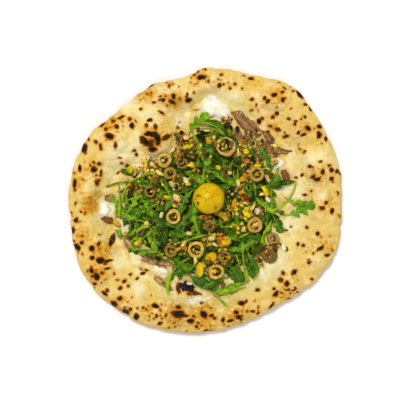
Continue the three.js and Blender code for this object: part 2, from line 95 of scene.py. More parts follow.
def ovalAway(x, y, x0, y0, long, wide, tilt):  # 0 in the middle of an oval, 1 at its edge
    u, v = rotated(x - x0, y - y0, -tilt)
    return np.hypot(u / (long / 2), v / (wide / 2))


# sizes in mm, the same as the solids': lists called reach give radii anticlockwise from +X

dough = {
    "reach": [
        148.5, 151, 150.5, 151, 152, 155.5, 151, 144, 144, 142.5, 134, 136.5, 136.5, 134, 136.5, 143, 145.5, 147.5,
        148, 148, 151.5, 155, 155.5, 153, 152.5, 149.5, 147, 145, 143.3, 141, 141, 143, 148, 152.5, 153, 151,
    ],
    "height": 19, "swell": 1.6, "ripple": 1.2, "lip": 21, "edgeHeight": 8, "base": 4,
    "segments": 800, "inset": 0.15, "seed": 20,
}
melt = {
    "reach": [
        108, 108, 107, 103, 101, 107, 113, 98, 68, 64, 84, 106,
        117, 116, 112, 109, 107, 110, 113, 112, 110, 108, 106, 106,
    ],
    "thickness": 2.2, "slope": 9, "segments": 560, "rings": 96, "floor": 16,
}
bubbles = [  # x, y, radius, height
    (-53, 67, 22, 9), (-93, 50, 20, 3), (108, 76, 19, 4), (76, 112, 19, 4.5), (52, 103, 15, 2.5),
    (-40, 110, 18, 4), (-101, -46, 19, 4.5), (-114, -78, 17, 4), (-80, -112, 17, 3),
    (-28, -124, 18, 4.5), (38, -121, 16, 4), (88, -88, 20, 4), (126, -48, 17, 4),
    (119, -8, 16, 2.5), (124, 28, 16, 4), (4, 126, 15, 3), (-128, 10, 16, 3.5),
]
heap = {
    "reach": [79, 74, 76, 78, 66, 74, 92, 90, 80, 90, 88, 82],
    "height": 16, "lump": 1, "segments": 320, "rings": 110, "floor": 12,
}


def draws(state):  # the same small generator as the solids use
    while True:
        state = state * 16807 % 2147483647
        yield state / 2147483647


def section(angle):
    edge = around(dough["reach"], angle)
    high = dough["height"] + dough["swell"] * np.sin(3 * angle + 0.6) + dough["ripple"] * np.sin(7 * angle + 2)
    return edge, edge - dough["lip"], around(melt["reach"], angle), high


def smallBlisters(count=46):
    chance = draws(dough["seed"])
    found = []
    for i in range(count):
        angle = np.array(turn * (i + 0.8 * next(chance)) / count)
        edge, _, meltEdge, _ = section(angle)
        r = mix(meltEdge + 6, edge - 8, next(chance))
        radius = mix(6, 10, next(chance))
        found.append((r * math.cos(angle), r * math.sin(angle), radius, mix(1, 2.6, next(chance))))
    return found


swellings = bubbles + smallBlisters()


def bubbleRise(x, y):
    rise = np.zeros_like(x)
    for bx, by, radius, high in swellings:
        share = ((x - bx) ** 2 + (y - by) ** 2) / radius ** 2
        rise += high * np.clip(1 - share, 0, 1) ** 1.2
    return rise


def doughTop(x, y):
    r = np.hypot(x, y)
    edge, crest, meltEdge, high = section(np.arctan2(y, x))
    inner = mix(dough["base"], high, smooth(meltEdge - melt["slope"], crest, r))
    out = np.clip((r - crest) / dough["lip"], 0, 1)
    outer = dough["edgeHeight"] + (high - dough["edgeHeight"]) * np.sqrt(1 - out * out)
    onRim = smooth(meltEdge - 5, meltEdge + 6, r) * (1 - smooth(edge - 6, edge, r))
    return np.where(r > crest, outer, inner) + onRim * bubbleRise(x, y)


def tableTop(x, y):  # top of the melt, or of the dough beside it
    r = np.hypot(x, y)
    meltEdge = section(np.arctan2(y, x))[2]
    return doughTop(x, y) + melt["thickness"] * smooth(meltEdge, meltEdge - melt["slope"], r)


def heapTop(x, y):
    share = np.clip(np.hypot(x, y) / around(heap["reach"], np.arctan2(y, x)), 0, 1)
    lumps = np.sin(x / 9 + 1) + np.sin(y / 10 - x / 17) + np.sin((x + y) / 12)
    rise = heap["height"] * (1 - share ** 2.6) ** 0.7
    high = dough["base"] + melt["thickness"] + rise + heap["lump"] * lumps * (1 - share)
    return np.where(share < 1, high, 0)


def restHeight(x, y):
    return np.maximum(tableTop(x, y) + 0.3, heapTop(x, y))


def spotOn(function, x, y):  # one place only
    return float(function(np.array([float(x)]), np.array([float(y)]))[0])


# scorched spots, and toasted and white patches

scorches = [  # x, y, length, width, turn in degrees, how dark
    (-61, 70, 7, 5, 30, 1.2), (-55.5, 69.5, 11, 6, -12, 1.4), (-50.5, 65.5, 10, 6, -50, 1.4),
    (-50, 60.5, 7, 5, 60, 1), (-63, 61, 5, 8, 20, 1.1), (-56, 53.5, 8, 5, 0, 1), (-41, 67, 11, 6, 35, 0.5),
    (-66, 63, 7, 11, 25, 0.6), (-11, -103, 18, 6, -6, 0.7), (-29, -97, 5, 12, 10, 0.7), (-57, 61, 9, 7, 0, 0.12),
    (-58, 59, 7, 9, 0, 0.5), (-53, 77, 4, 7, 0, 0.6), (-62, 79, 4, 5, 0, 0.3), (-59, 85, 5, 4, 0, 0.9),
    (-78, 79, 5, 7, 0, 0.85), (-95, 78, 5, 5, 0, 0.75), (-102, 67, 11, 7, -15, 1), (-96, 58, 4, 8, 0, 0.7),
    (-90, 88, 8, 3, 20, 0.7), (-98, 84, 5, 3, 20, 0.55), (-106, 75, 4, 5, 0, 0.7), (-110, 81, 9, 3, 45, 0.6),
    (-81, 86, 4, 4, 0, 0.6), (-68, 97, 3, 3, 0, 0.6), (-45, 106, 5, 4, 30, 0.8), (-54, 104, 3, 2, 30, 0.7),
    (-17, 106, 7, 5, 10, 0.9), (-33, 110, 5, 7, 0, 0.85), (-35, 104, 9, 5, -30, 0.5), (-9, 97, 9, 2, 0, 0.35),
    (-47, 93, 8, 3, -30, 0.55), (-92, 44, 2.4, 2, 0, 1), (-90, 39, 3, 2, -20, 0.7), (-76, 52, 3, 3, -40, 0.9),
    (-74, 48, 3, 3, -40, 0.75), (-84, 36, 3, 4, 0, 0.6), (-94, 28, 3, 2, 45, 0.7), (-119, 32, 6, 7, 0, 1),
    (-119, 39, 3, 3, 0, 0.7), (-113, 38, 4, 3, 0, 0.6), (-112, 29, 3, 5, 0, 0.6), (-114, 20, 3, 3, 0, 0.8),
    (-116, 17, 4, 6, 0, 0.4), (-117, 61, 5, 4, 0, 0.75), (-112, 57, 4, 5, 0, 0.5), (-129.6, 55, 6, 11, -10, 0.9),
    (-135, 33, 4, 8, 0, 0.9), (-140, 16.5, 5, 10, 0, 0.95), (-139, -23, 6, 5, 0, 0.85), (-142, -34, 4, 7, 0, 0.9),
    (-137, -52, 6, 9, 30, 0.95), (-132, -47, 4, 4, 0, 0.8), (-59, 123, 9, 4, 25, 0.8), (-3, 131, 10, 6, 0, 1),
    (16, 122, 5, 5, 0, 0.85), (50, 130, 7, 4, -15, 0.95), (28, 120, 3, 3, 0, 0.7), (33, 124, 3, 3, 0, 0.7),
    (75, 112, 7, 5, -10, 1), (84, 106, 6, 5, 30, 0.7), (84, 115, 4, 3, 0, 0.7), (103, 113, 5, 11, 50, 1.05),
    (65, 108, 4, 4, 0, 0.85), (68, 105, 6, 4, 45, 0.9), (51, 107, 4, 3, 0, 0.8), (56, 102, 2, 4, 0, 0.5),
    (78, 92, 4, 4, 0, 0.85), (74, 89, 4, 4, 0, 0.45), (59, 84, 5, 6, 30, 0.95), (68, 71, 6, 7, 0, 0.8),
    (88, 68, 7, 4, 15, 0.6), (71, 79, 5, 3, -30, 0.4), (79, 75, 7, 4, -20, 0.45), (111, 76, 8, 5, -45, 1),
    (101, 71, 4, 3, 0, 0.85), (106, 69, 6, 3, 20, 0.85), (98, 83, 3, 3, 0, 0.8), (97, 80, 3, 2, 0, 0.7),
    (123, 69, 6, 8, 0, 0.9), (124, 78, 5, 4, 0, 0.9), (131, 65, 4, 5, 0, 0.85), (115, 98, 4, 6, 10, 0.7),
    (109, 102, 5, 3, 0, 0.6), (108, 88, 3, 3, 0, 0.7), (114, 35, 4, 3, 0, 0.7), (117, 24, 4, 4, 0, 0.8),
    (122, 21, 6, 4, 25, 0.9), (106, 26, 3, 3, 0, 0.9), (99, 23, 4, 3, 0, 0.9), (109, 5, 3, 2.5, 0, 0.9),
    (126, 29, 5, 6, -30, 0.9), (124, 40, 4, 3, 20, 0.7), (137, 31, 5, 5, 0, 0.9), (137, 22, 5, 4, 0, 0.85),
    (143, 30, 4, 5, 0, 0.8), (130, -4, 4, 4, 0, 0.8), (137, -13, 4, 7, 0, 0.9), (126, -10, 6, 5, 0, 0.4),
    (-100, -44, 5, 15, -20, 1), (-112, -66, 9, 7, -10, 1), (-104, -67, 11, 3, 10, 0.6), (-116, -83, 7, 9, 20, 1),
    (-98, -114, 8, 7, 50, 0.95), (-85, -122, 8, 7, -20, 1), (-73, -127, 6, 7, 0, 0.9), (-91, -107, 6, 5, 0, 0.75),
    (-108, -102, 9, 4, -45, 0.8), (-121, -53, 5, 6, 0, 0.95), (-121, -64, 6, 5, 0, 1), (-121, -77, 5, 5, 0, 0.95),
    (-119, -91, 5, 3, 0, 0.8), (-91, -96, 4, 4, 0, 0.75), (-87, -89, 4, 4, 0, 0.75), (-82, -94, 3, 3, 0, 0.5),
    (-73, -86, 3, 3, 0, 0.75), (-67, -81, 5, 3, 20, 0.85), (-63, -77, 5, 3, -20, 0.85), (-80, -82, 3, 3, 0, 0.7),
    (-114, -48, 4, 6, -30, 0.6), (-105, -75, 6, 3, 15, 0.7), (-110, -79, 4, 4, 0, 0.4), (-105, -99, 4, 5, 0, 0.5),
    (-28, -123, 17, 8, -5, 1.05), (-28, -116, 6, 4, 0, 0.6), (-15, -131, 9, 5, 0, 0.95), (-53, -115, 8, 5, -20, 1),
    (-1, -124, 9, 7, -35, 1), (7, -125, 5, 4, 20, 0.7), (-66, -117, 3, 3, 0, 0.6), (-80, -119, 3, 4, 0, 0.7),
    (-52, -126, 3, 4, 0, 0.7), (-48, -134, 6, 4, 30, 0.9), (-42, -125, 3, 4, 0, 0.5), (-20, -125, 6, 4, 0, 0.5),
    (40, -112, 8, 5, 0, 0.95), (34, -122, 5, 5, 0, 0.95), (37, -127, 6, 5, 0, 0.95), (28, -131, 8, 3, 20, 0.75),
    (20, -130, 4, 6, -20, 0.8), (11, -128, 4, 4, 0, 0.6), (57, -98, 5, 4, -30, 0.7), (77, -102, 8, 5, 35, 0.95),
    (72, -115, 8, 3, 45, 0.7), (88, -91, 6, 6, 0, 0.9), (96, -79, 8, 5, 40, 0.95), (85, -80, 4, 4, 0, 0.4),
    (52, -121, 5, 3, 0, 0.8), (58, -123, 4, 3, 0, 0.7), (97, -98, 6, 2, 35, 0.65), (116, -87, 3, 3, 0, 0.7),
    (75, -97, 3, 3, 0, 0.7), (82, -87, 5, 5, 0, 0.35), (101, -49, 2.6, 3, 0, 1), (107, -50, 3, 3, 0, 0.8),
    (89, -54, 3, 4, 0, 0.9), (89, -34, 2.5, 2.5, 0, 1), (84, -35, 3, 2.5, 0, 0.85), (94, -30, 2, 2, 0, 0.9),
    (111, -31, 3, 2.5, 0, 0.8), (122, -37, 4, 4, 0, 0.95), (112, -68, 3.5, 4, 0, 0.8), (125, -53, 9, 4, 35, 0.85),
    (132, -60, 5, 4, 0, 0.8), (-27, 83, 3.5, 2.5, 0, 0.9), (-28, 78, 5, 4, 0, 0.3), (-3, -112, 3, 3, 0, 0.8),
]
toasted = [  # warm patches of the crust: x, y, radius, strength
    (-56, 66, 21, 1), (-110, -57, 20, 0.9), (-116, -80, 17, 0.9), (-2, -125, 24, 1), (-32, -124, 20, 1),
    (-92, -114, 18, 0.8), (-122, 35, 15, 0.7), (-62, 112, 20, 0.8), (-33, 106, 15, 0.9), (-104, 82, 18, 0.8),
    (76, 112, 15, 0.8), (108, 76, 14, 0.8), (122, 26, 15, 0.7), (92, -88, 16, 0.6), (35, -125, 18, 0.9),
    (-3, 131, 14, 0.9), (-132, -40, 16, 0.9), (75, 77, 11, 0.7), (-135, 20, 14, 0.7), (50, 126, 14, 0.6),
    (-96, 64, 14, 0.5), (130, -50, 15, 0.6), (-62, -120, 14, 0.6), (85, -104, 12, 0.6), (135, -5, 13, 0.6),
    (-12, 96, 8, 0.7), (-124, -7, 15, 1.4), (-12, -103, 11, 1.2), (-117, 5, 9, 0.8), (-100, -27, 8, 0.8),
    (-46, -86, 7, 0.9), (53, -86, 8, 0.4),
]
whitePatches = [  # cream of the cheese shows white here: x, y, radius
    (-86, 46, 24), (-74, 64, 15), (-100, 34, 14), (-62, 92, 16), (94, -26, 14), (57, -57, 9), (85, 12, 12),
    (100, 8, 12), (-88, -30, 12), (14, 100, 20), (-104, -8, 14), (-48, -78, 11), (-8, -108, 12), (-74, -62, 11),
    (80, -72, 17), (-92, -66, 13), (66, -82, 13), (-72, -96, 12), (118, 45, 12), (-84, 100, 10), (30, 108, 13),
]


def whiteAt(x, y):
    white = np.zeros_like(x)
    for px, py, radius in whitePatches:
        white = np.maximum(white, 1 - smooth(0.3, 1.2, np.hypot(x - px, y - py) / radius))
    return white


straySpots = {"seed": 11, "count": 260, "nearest": 104, "margin": 1.5, "fewerFrom": 95, "fewer": 0.4}


def strayScorches():  # small freckles that nobody would place by hand
    chance = np.random.default_rng(straySpots["seed"])
    rows = []
    for _ in range(straySpots["count"]):
        angle = turn * chance.random()
        edge, _, meltEdge, _ = section(np.array(angle))
        r = mix(max(meltEdge + 2, straySpots["nearest"]), edge - straySpots["margin"], chance.random() ** 0.7)
        x, y, long = r * math.cos(angle), r * math.sin(angle), mix(1.4, 4, chance.random() ** 2.2)
        row = (x, y, long, long * mix(0.5, 1, chance.random()), 180 * chance.random(), mix(0.12, 0.75, chance.random()))
        if spotOn(whiteAt, x, y) < 0.25 and not (x > straySpots["fewerFrom"] and chance.random() < straySpots["fewer"]):
            rows.append(row)
    return rows


def scorchAt(x, y):  # how scorched: up to 1 inside a spot, 0 at its edge, -1 from 3.6 mm beyond it
    burn = np.full_like(x, -1.0)
    spots = flat(x, y)
    x = x + 1.1 * grain(spots, 4.5, 21) + 0.5 * grain(spots, 2, 22)
    y = y + 1.1 * grain(spots, 4.5, 23) + 0.5 * grain(spots, 2, 24)
    for sx, sy, long, wide, tilt, dark in scorches + strays:
        near = np.abs(x - sx) + np.abs(y - sy) < 0.8 * (long + wide) + 7
        away = ovalAway(x[near], y[near], sx, sy, long, wide, tilt)
        inside = dark * (1 - np.minimum(away, 1) ** 2.4)
        beyond = np.maximum(away - 1, 0) * (long + wide) / 4 / 3.6
        burn[near] = np.maximum(burn[near], inside - beyond)
    return burn


def toastAt(x, y):
    warm = np.zeros_like(x)
    for tx, ty, radius, strength in toasted:
        away = np.hypot(x - tx, y - ty) / radius
        warm = np.maximum(warm, strength * (1 - smooth(0.2, 1.1, away)))
    return warm


strays = strayScorches()
print("spots:", len(scorches), "placed and", len(strays), "stray")


# meshes: everything starts as a primitive and is shaped in mm

def deselect():
    if bpy.context.object and bpy.context.object.mode != "OBJECT":
        bpy.ops.object.mode_set(mode="OBJECT")
    bpy.ops.object.select_all(action="DESELECT")


def named(name):  # what was just added
    piece = bpy.context.object
    piece.name = name
    piece.data.name = name
    return piece


def ball(name, segments, rings, finer=0):  # each level of finer doubles both numbers
    deselect()
    bpy.ops.mesh.primitive_uv_sphere_add(segments=segments, ring_count=rings, radius=1)
    piece = named(name)
    if finer:
        apply(piece, "SUBSURF", subdivision_type="SIMPLE", levels=finer, render_levels=finer)
    return piece


def pointsOf(piece):
    points = np.empty(len(piece.data.vertices) * 3, np.float32)
    piece.data.vertices.foreach_get("co", points)
    return points.reshape(-1, 3).astype(float)


def move(piece, points):  # from mm to the frame's metres
    piece.data.vertices.foreach_set("co", (points * mm).astype(np.float32).ravel())
    piece.data.update()


def mark(piece, title, values):  # a number for each point, which its material reads
    layer = piece.data.attributes.new(title, "FLOAT", "POINT")
    layer.data.foreach_set("value", np.asarray(values, np.float32))


def ringsOf(piece, rings):  # place from the lower pole up in rings, and angle, of a ball's points
    points = pointsOf(piece)
    tilt = np.arctan2(points[:, 2], np.hypot(points[:, 0], points[:, 1]))
    return (tilt / math.pi + 0.5) * rings, np.arctan2(points[:, 1], points[:, 0])


def steadyRings(piece, rings):  # the same, with a single angle at each pole
    ring, angle = ringsOf(piece, rings)
    return ring, np.where((ring < 0.01) | (ring > rings - 0.01), 0, angle)


def outward(ring, rings, floor):  # 0 at both poles, 1 at the edge, floor rings above the lower one
    return np.where(ring <= floor, ring / floor, 1 - (ring - floor) / (rings - floor))


def pick(piece):  # the only one that the next operator works on
    deselect()
    piece.select_set(True)
    bpy.context.view_layer.objects.active = piece


def apply(piece, kind, **settings):
    pick(piece)
    modifier = piece.modifiers.new(kind.title(), kind)
    for key, value in settings.items():
        setattr(modifier, key, value)
    bpy.ops.object.modifier_apply(modifier=modifier.name)


def finished(piece, material, slot, *nodes, degrees=80):  # edges sharper than degrees stay sharp
    pick(piece)
    bpy.ops.object.shade_smooth_by_angle(angle=math.radians(degrees))
    piece.data.materials.clear()
    piece.data.materials.append(material)
    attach(piece, "root")
    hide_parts(*nodes)
    return piece


def joined(name, parts):  # one mesh of many small ones: (points in mm, faces, marks) each
    labels = list(parts[0][2])
    points, corners, counts, marks, start = [], [], [], {label: [] for label in labels}, 0
    for shape, faces, values in parts:
        points.append(shape)
        for face in faces:
            corners.extend(start + corner for corner in face)
            counts.append(len(face))
        for label in labels:
            marks[label].append(np.broadcast_to(values[label], len(shape)))
        start += len(shape)
    mesh = bpy.data.meshes.new(name)
    mesh.vertices.add(start)
    mesh.vertices.foreach_set("co", (np.concatenate(points) * mm).astype(np.float32).ravel())
    mesh.loops.add(len(corners))
    mesh.loops.foreach_set("vertex_index", np.array(corners, np.int32))
    mesh.polygons.add(len(counts))
    mesh.polygons.foreach_set("loop_start", np.cumsum([0] + counts[:-1]).astype(np.int32))
    mesh.update(calc_edges=True)
    mesh.validate()
    piece = bpy.data.objects.new(name, mesh)
    bpy.context.scene.collection.objects.link(piece)
    for label in labels:
        mark(piece, label, np.concatenate(marks[label]))
    return piece


# materials

def tone(red, green, blue):  # a colour as a picture shows it, 0 to 255
    shares = [c / 255 for c in (red, green, blue)]
    return tuple(c / 12.92 if c <= 0.04045 else ((c + 0.055) / 1.055) ** 2.4 for c in shares) + (1,)


def feed(tree, socket, value):
    if isinstance(value, Wire):
        tree.links.new(value.socket, socket)
    else:
        socket.default_value = value


class Wire:  # an output of a node, for sums
    def __init__(self, tree, socket):
        self.tree = tree
        self.socket = socket

    def math(self, operation, *others):
        node = self.tree.nodes.new("ShaderNodeMath")
        node.operation = operation
        for socket, value in zip(node.inputs, (self, *others)):
            feed(self.tree, socket, value)
        return Wire(self.tree, node.outputs[0])

    def __add__(self, other):
        return self.math("ADD", other)

    def __mul__(self, other):
        return self.math("MULTIPLY", other)

    def __sub__(self, other):
        return self.math("SUBTRACT", other)

    def __rsub__(self, other):
        return self * -1 + other

    __radd__ = __add__
    __rmul__ = __mul__


class Paint:  # one material and its nodes
    def __init__(self, title, fixed):
        self.material = bpy.data.materials.new(title)
        self.material.use_nodes = True
        self.tree = self.material.node_tree
        self.shader = self.tree.nodes["Principled BSDF"]
        for socket, value in fixed.items():
            self.shader.inputs[socket].default_value = value
        self.place = self.node("TexCoord", {}, {}, "Object")

    def node(self, kind, settings, inputs, out=0):
        node = self.tree.nodes.new("ShaderNode" + kind)
        for key, value in settings.items():
            if key == "stops":
                for spot, _ in value[len(node.color_ramp.elements):]:
                    node.color_ramp.elements.new(spot)
                for element, (spot, colour) in zip(node.color_ramp.elements, value):
                    element.position = spot
                    element.color = colour
            else:
                setattr(node, key, value)
        for key, value in inputs.items():
            feed(self.tree, node.inputs[key], value)
        return Wire(self.tree, node.outputs[out])

    def mark(self, title):
        return self.node("Attribute", {"attribute_name": title}, {}, "Fac")

    def noise(self, size, detail=3.0, rough=0.5, at=None):  # about 0 to 1, lumps about size mm wide
        return self.node("TexNoise", {}, {"Vector": at or self.place, "Scale": 1000 / size,
                                          "Detail": detail, "Roughness": rough})

    def stir(self, by, size, detail=3.0, rough=0.5):  # the same about 0, to fray the edge of a mark
        return (self.noise(size, detail, rough) - 0.5) * by

    def pits(self, size):  # 0 in the middle of each cell
        return self.node("TexVoronoi", {}, {"Vector": self.place, "Scale": 1000 / size}, "Distance")

    def step(self, value, low, high):
        return self.node("MapRange", {"interpolation_type": "SMOOTHSTEP"},
                         {"Value": value, "From Min": low, "From Max": high})

    def ramp(self, value, stops):
        return self.node("ValToRGB", {"stops": stops}, {"Fac": value})

    def mix(self, share, first, second, kind="MIX"):
        return self.node("Mix", {"data_type": "RGBA", "blend_type": kind}, {0: share, 6: first, 7: second}, 2)

    def swung(self, degrees):  # object places, turned
        return self.node("Mapping", {}, {"Vector": self.place, "Rotation": (0, 0, math.radians(degrees))})

    def done(self, colour, roughness, height=None, strength=0.5, depth=0.5):
        feed(self.tree, self.shader.inputs["Base Color"], colour)
        feed(self.tree, self.shader.inputs["Roughness"], roughness)
        if height is not None:
            bump = self.node("Bump", {}, {"Strength": strength, "Distance": depth * mm, "Height": height}, "Normal")
            feed(self.tree, self.shader.inputs["Normal"], bump)
        return self.material


def scorched(paint, ground, gold, amber):  # browns and blackens a ground colour by the marks of burn and toast
    warm = paint.mark("toast") * 0.26
    calm = 1 - paint.mark("white") * 0.85
    patch = paint.noise(8, 4, 0.55) + warm
    ground = paint.mix(paint.step(patch, 0.53, 0.7) * calm * 0.7, ground, gold)
    ground = paint.mix(paint.step(paint.noise(4.2, 3, 0.6) + warm, 0.63, 0.79) * calm * 0.85, ground, amber)
    ground = paint.mix(paint.step(paint.noise(2.4, 2) + warm * 0.6, 0.68, 0.8) * 0.7, ground, tone(176, 112, 16))
    burn = paint.mark("burn") + paint.stir(0.75, 3.4, 3, 0.6) + paint.stir(0.4, 1.3)
    colour = paint.mix(paint.step(burn, -0.66, -0.16) * 0.6, ground, amber)
    colour = paint.mix(paint.step(burn, -0.26, -0.02) * 0.85, colour, tone(184, 104, 8))
    colour = paint.mix(paint.step(burn, 0.0, 0.12), colour, tone(112, 58, 6))
    colour = paint.mix(paint.step(burn, 0.2, 0.42) * 0.9, colour, tone(66, 36, 5))
    return paint.mix(paint.step(burn, 0.45, 0.7), colour, tone(25, 19, 14)), burn


# where cheese, meat and crumbs lie

dollops = {  # x, y, length, width, turn, height
    "cheese_top": (10, 99, 36, 27, -35, 6), "cheese_upper_left": (-27, 85, 17, 10, 75, 3),
    "cheese_right": (79, 38, 20, 13, 10, 4), "cheese_left": (-108, -11, 17, 13, 75, 4),
    "cheese_lower_left": (-71, -61, 13, 9, 70, 3), "cheese_low": (-49, -78, 22, 11, -15, 3),
    "cheese_bottom": (-8, -109, 32, 9, 5, 2.5), "cheese_lower_right": (62, -80, 19, 12, 75, 3.5),
    "cheese_far_right": (86, -53, 11, 8, 80, 2.5),
}
slices = {  # the same
    "meat_top": (45, 83, 42, 15, -42, 3.5), "meat_upper_right": (70, 67, 18, 9, -50, 3.5),
    "meat_upper_strip": (83, 52, 24, 7, -8, 2.5), "meat_right": (88, 25, 16, 9, -72, 4.5),
    "meat_left": (-103, 1, 12, 9, -10, 3.5), "meat_far_left": (-105, -23, 15, 8, -25, 4),
    "meat_lower_left": (-81, -48, 16, 10, -60, 3), "meat_low": (-46, -68, 26, 8, -18, 3.5),
    "meat_low_strip": (-45, -93, 28, 6, -38, 2.5), "meat_bottom": (13, -103, 11, 8, -40, 3.5),
    "meat_upper_left": (-64, 27, 11, 8, 60, 3.5), "burnt_flake": (-19, -95, 20, 14, -20, 4.5),
}
crumbPatches = [  # chopped nuts and crumbs lie thick here: x, y, radius, share of brown ones
    (-62, 43, 9, 0.6), (-57, 33, 11, 0.3), (-72, 28, 9, 0.25), (-25, 64, 10, 0.7), (-13, 55, 11, 0.45),
    (-30, 50, 8, 0.6), (10, 64, 9, 0.3), (1, 48, 8, 0.5), (34, 69, 9, 0.75), (48, 64, 9, 0.7), (62, 57, 9, 0.7),
    (57, 70, 6, 0.8), (71, 60, 7, 0.7), (76, 52, 9, 0.6), (40, 51, 11, 0.4), (48, 40, 10, 0.6), (44, 22, 10, 0.4),
    (22, 29, 8, 0.8), (40, 8, 8, 0.3), (46, -12, 13, 0.1), (30, -14, 8, 0.4), (60, -14, 8, 0.3), (8, -46, 10, 0.35),
    (19, -46, 10, 0.2), (5, -28, 7, 0.8), (36, -32, 9, 0.3), (-28, 18, 10, 0.5), (-11, 26, 8, 0.6), (-50, 1, 10, 0.5),
    (-52, 17, 8, 0.6), (23, 56, 7, 0.5), (-43, 42, 4, 0.5), (-33, -19, 5, 0.5), (-9, -54, 5, 0.5), (54, -28, 5, 0.2),
    (56, 27, 5, 0.5), (-75, 12, 8, 0.7), (-20, -54, 9, 0.5), (-36, -51, 8, 0.5), (-52, -62, 7, 0.7),
    (62, -56, 8, 0.7), (76, -50, 7, 0.6), (6, -72, 9, 0.5), (20, -66, 8, 0.6), (-30, -2, 8, 0.3), (60, 44, 7, 0.6),
    (24, 84, 7, 0.8),
]
meatBands = [  # torn meat half sunk in the melt: x, y, length, width, turn
    (-82, -48, 17, 12, -60), (-56, -69, 40, 11, -22), (-45, -91, 34, 9, -40), (-24, -107, 24, 7, -14),
    (-67, -79, 14, 5, -52), (16, -104, 16, 6, 20), (64, 74, 26, 9, -45),
]


def crumbShare(x, y):  # 1 in the middle of a patch
    share, brown = np.zeros_like(x), np.full_like(x, 0.5)
    for px, py, radius, dark in crumbPatches:
        here = 1 - smooth(0.55, 1.25, np.hypot(x - px, y - py) / radius)
        brown = np.where(here > share, dark, brown)
        share = np.maximum(share, here)
    return share, brown


def crumbsAt(x, y):
    return crumbShare(x, y)[0]


def meatAt(x, y):
    meat, spots = np.zeros_like(x), flat(x, y)
    for mx, my, long, wide, tilt in meatBands:
        u, v = rotated(x - mx, y - my, -tilt)
        strands = grain(np.stack([u / 5, v, 0 * u + mx], axis=1), 1.7, 16)
        away = np.hypot(u / (long / 2), v / (wide / 2)) + 0.28 * grain(spots, 5, 17)
        meat = np.maximum(meat, (1 - smooth(0.55, 1.1, away)) * (0.75 + 0.35 * strands))
    return meat


def juiceAt(x, y):  # brown juices round the meat
    wet = np.zeros_like(x)
    for x0, y0, long, wide, tilt, _ in slices.values():
        away = ovalAway(x, y, x0, y0, long + 8, wide + 8, tilt)
        wet = np.maximum(wet, 1 - smooth(0.6, 1.3, away))
    share, brown = crumbShare(x, y)
    return np.maximum(0.6 * wet, 1.1 * share * (brown > 0.5))


# crust and base of the dough, one closed shape, and the melted cheese in it

def crustPaint():
    paint = Paint("bakedCrust", {"Specular IOR Level": 0.16, "Specular Tint": (1, 0.86, 0.5, 1),
                                 "Subsurface Weight": 0.05, "Subsurface Radius": (0.006, 0.004, 0.002),
                                 "Subsurface Scale": 0.4})
    # painted light and shade: raised lumps and bubbles paler cream, creases and hollows darker gold, stirred with noise
    reliefShading = paint.mark("puff") + paint.stir(1.3, 9, 3) + paint.stir(0.4, 3.4, 2)
    ground = paint.mix(paint.step(reliefShading, 0.15, 0.85), tone(232, 201, 114), tone(245, 224, 164))
    ground = paint.mix(paint.step(paint.noise(22, 2), 0.5, 0.68) * 0.3, ground, tone(243, 214, 134))
    ground = paint.mix(paint.step(paint.noise(6, 4, 0.6), 0.42, 0.66) * 0.5, ground, tone(224, 182, 82))
    cream = paint.mix(paint.step(paint.noise(12, 4), 0.38, 0.62), tone(238, 214, 122), tone(246, 232, 172))
    cream = paint.mix(paint.mark("white") * paint.step(paint.noise(9, 3), 0.34, 0.62), cream, tone(247, 236, 184))
    # paler cream by the melt and in the white patches: the dough's own colour there, and also painted light that lifts
    # the inner slope out of its shade
    ground = paint.mix(paint.mark("cream") * 0.9, ground, cream)
    colour, burn = scorched(paint, ground, tone(228, 180, 58), tone(210, 142, 26))
    freckles = paint.step(paint.noise(1.9, 2), 0.64, 0.73) * paint.step(paint.noise(24, 2), 0.4, 0.56)
    colour = paint.mix(freckles * 0.75, colour, tone(178, 124, 28))
    below = paint.mix(paint.step(paint.noise(16, 4), 0.42, 0.6), tone(224, 182, 100), tone(192, 132, 58))
    below = paint.mix(paint.step(paint.noise(7, 3), 0.6, 0.68), below, tone(92, 56, 24))
    below = paint.mix(paint.step(paint.noise(9, 2), 0.66, 0.72), below, tone(44, 34, 26))
    colour = paint.mix(paint.mark("under"), colour, below)
    char = paint.step(burn, 0.3, 0.6)
    height = paint.noise(1.6, 4, 0.6) * 0.5 + paint.noise(5, 3) * 1.1 + paint.pits(2.4) * 0.25 - char * 0.5
    return paint.done(colour, 0.74 - char * 0.12 + paint.noise(6) * 0.1, height, 0.7, 1.1)


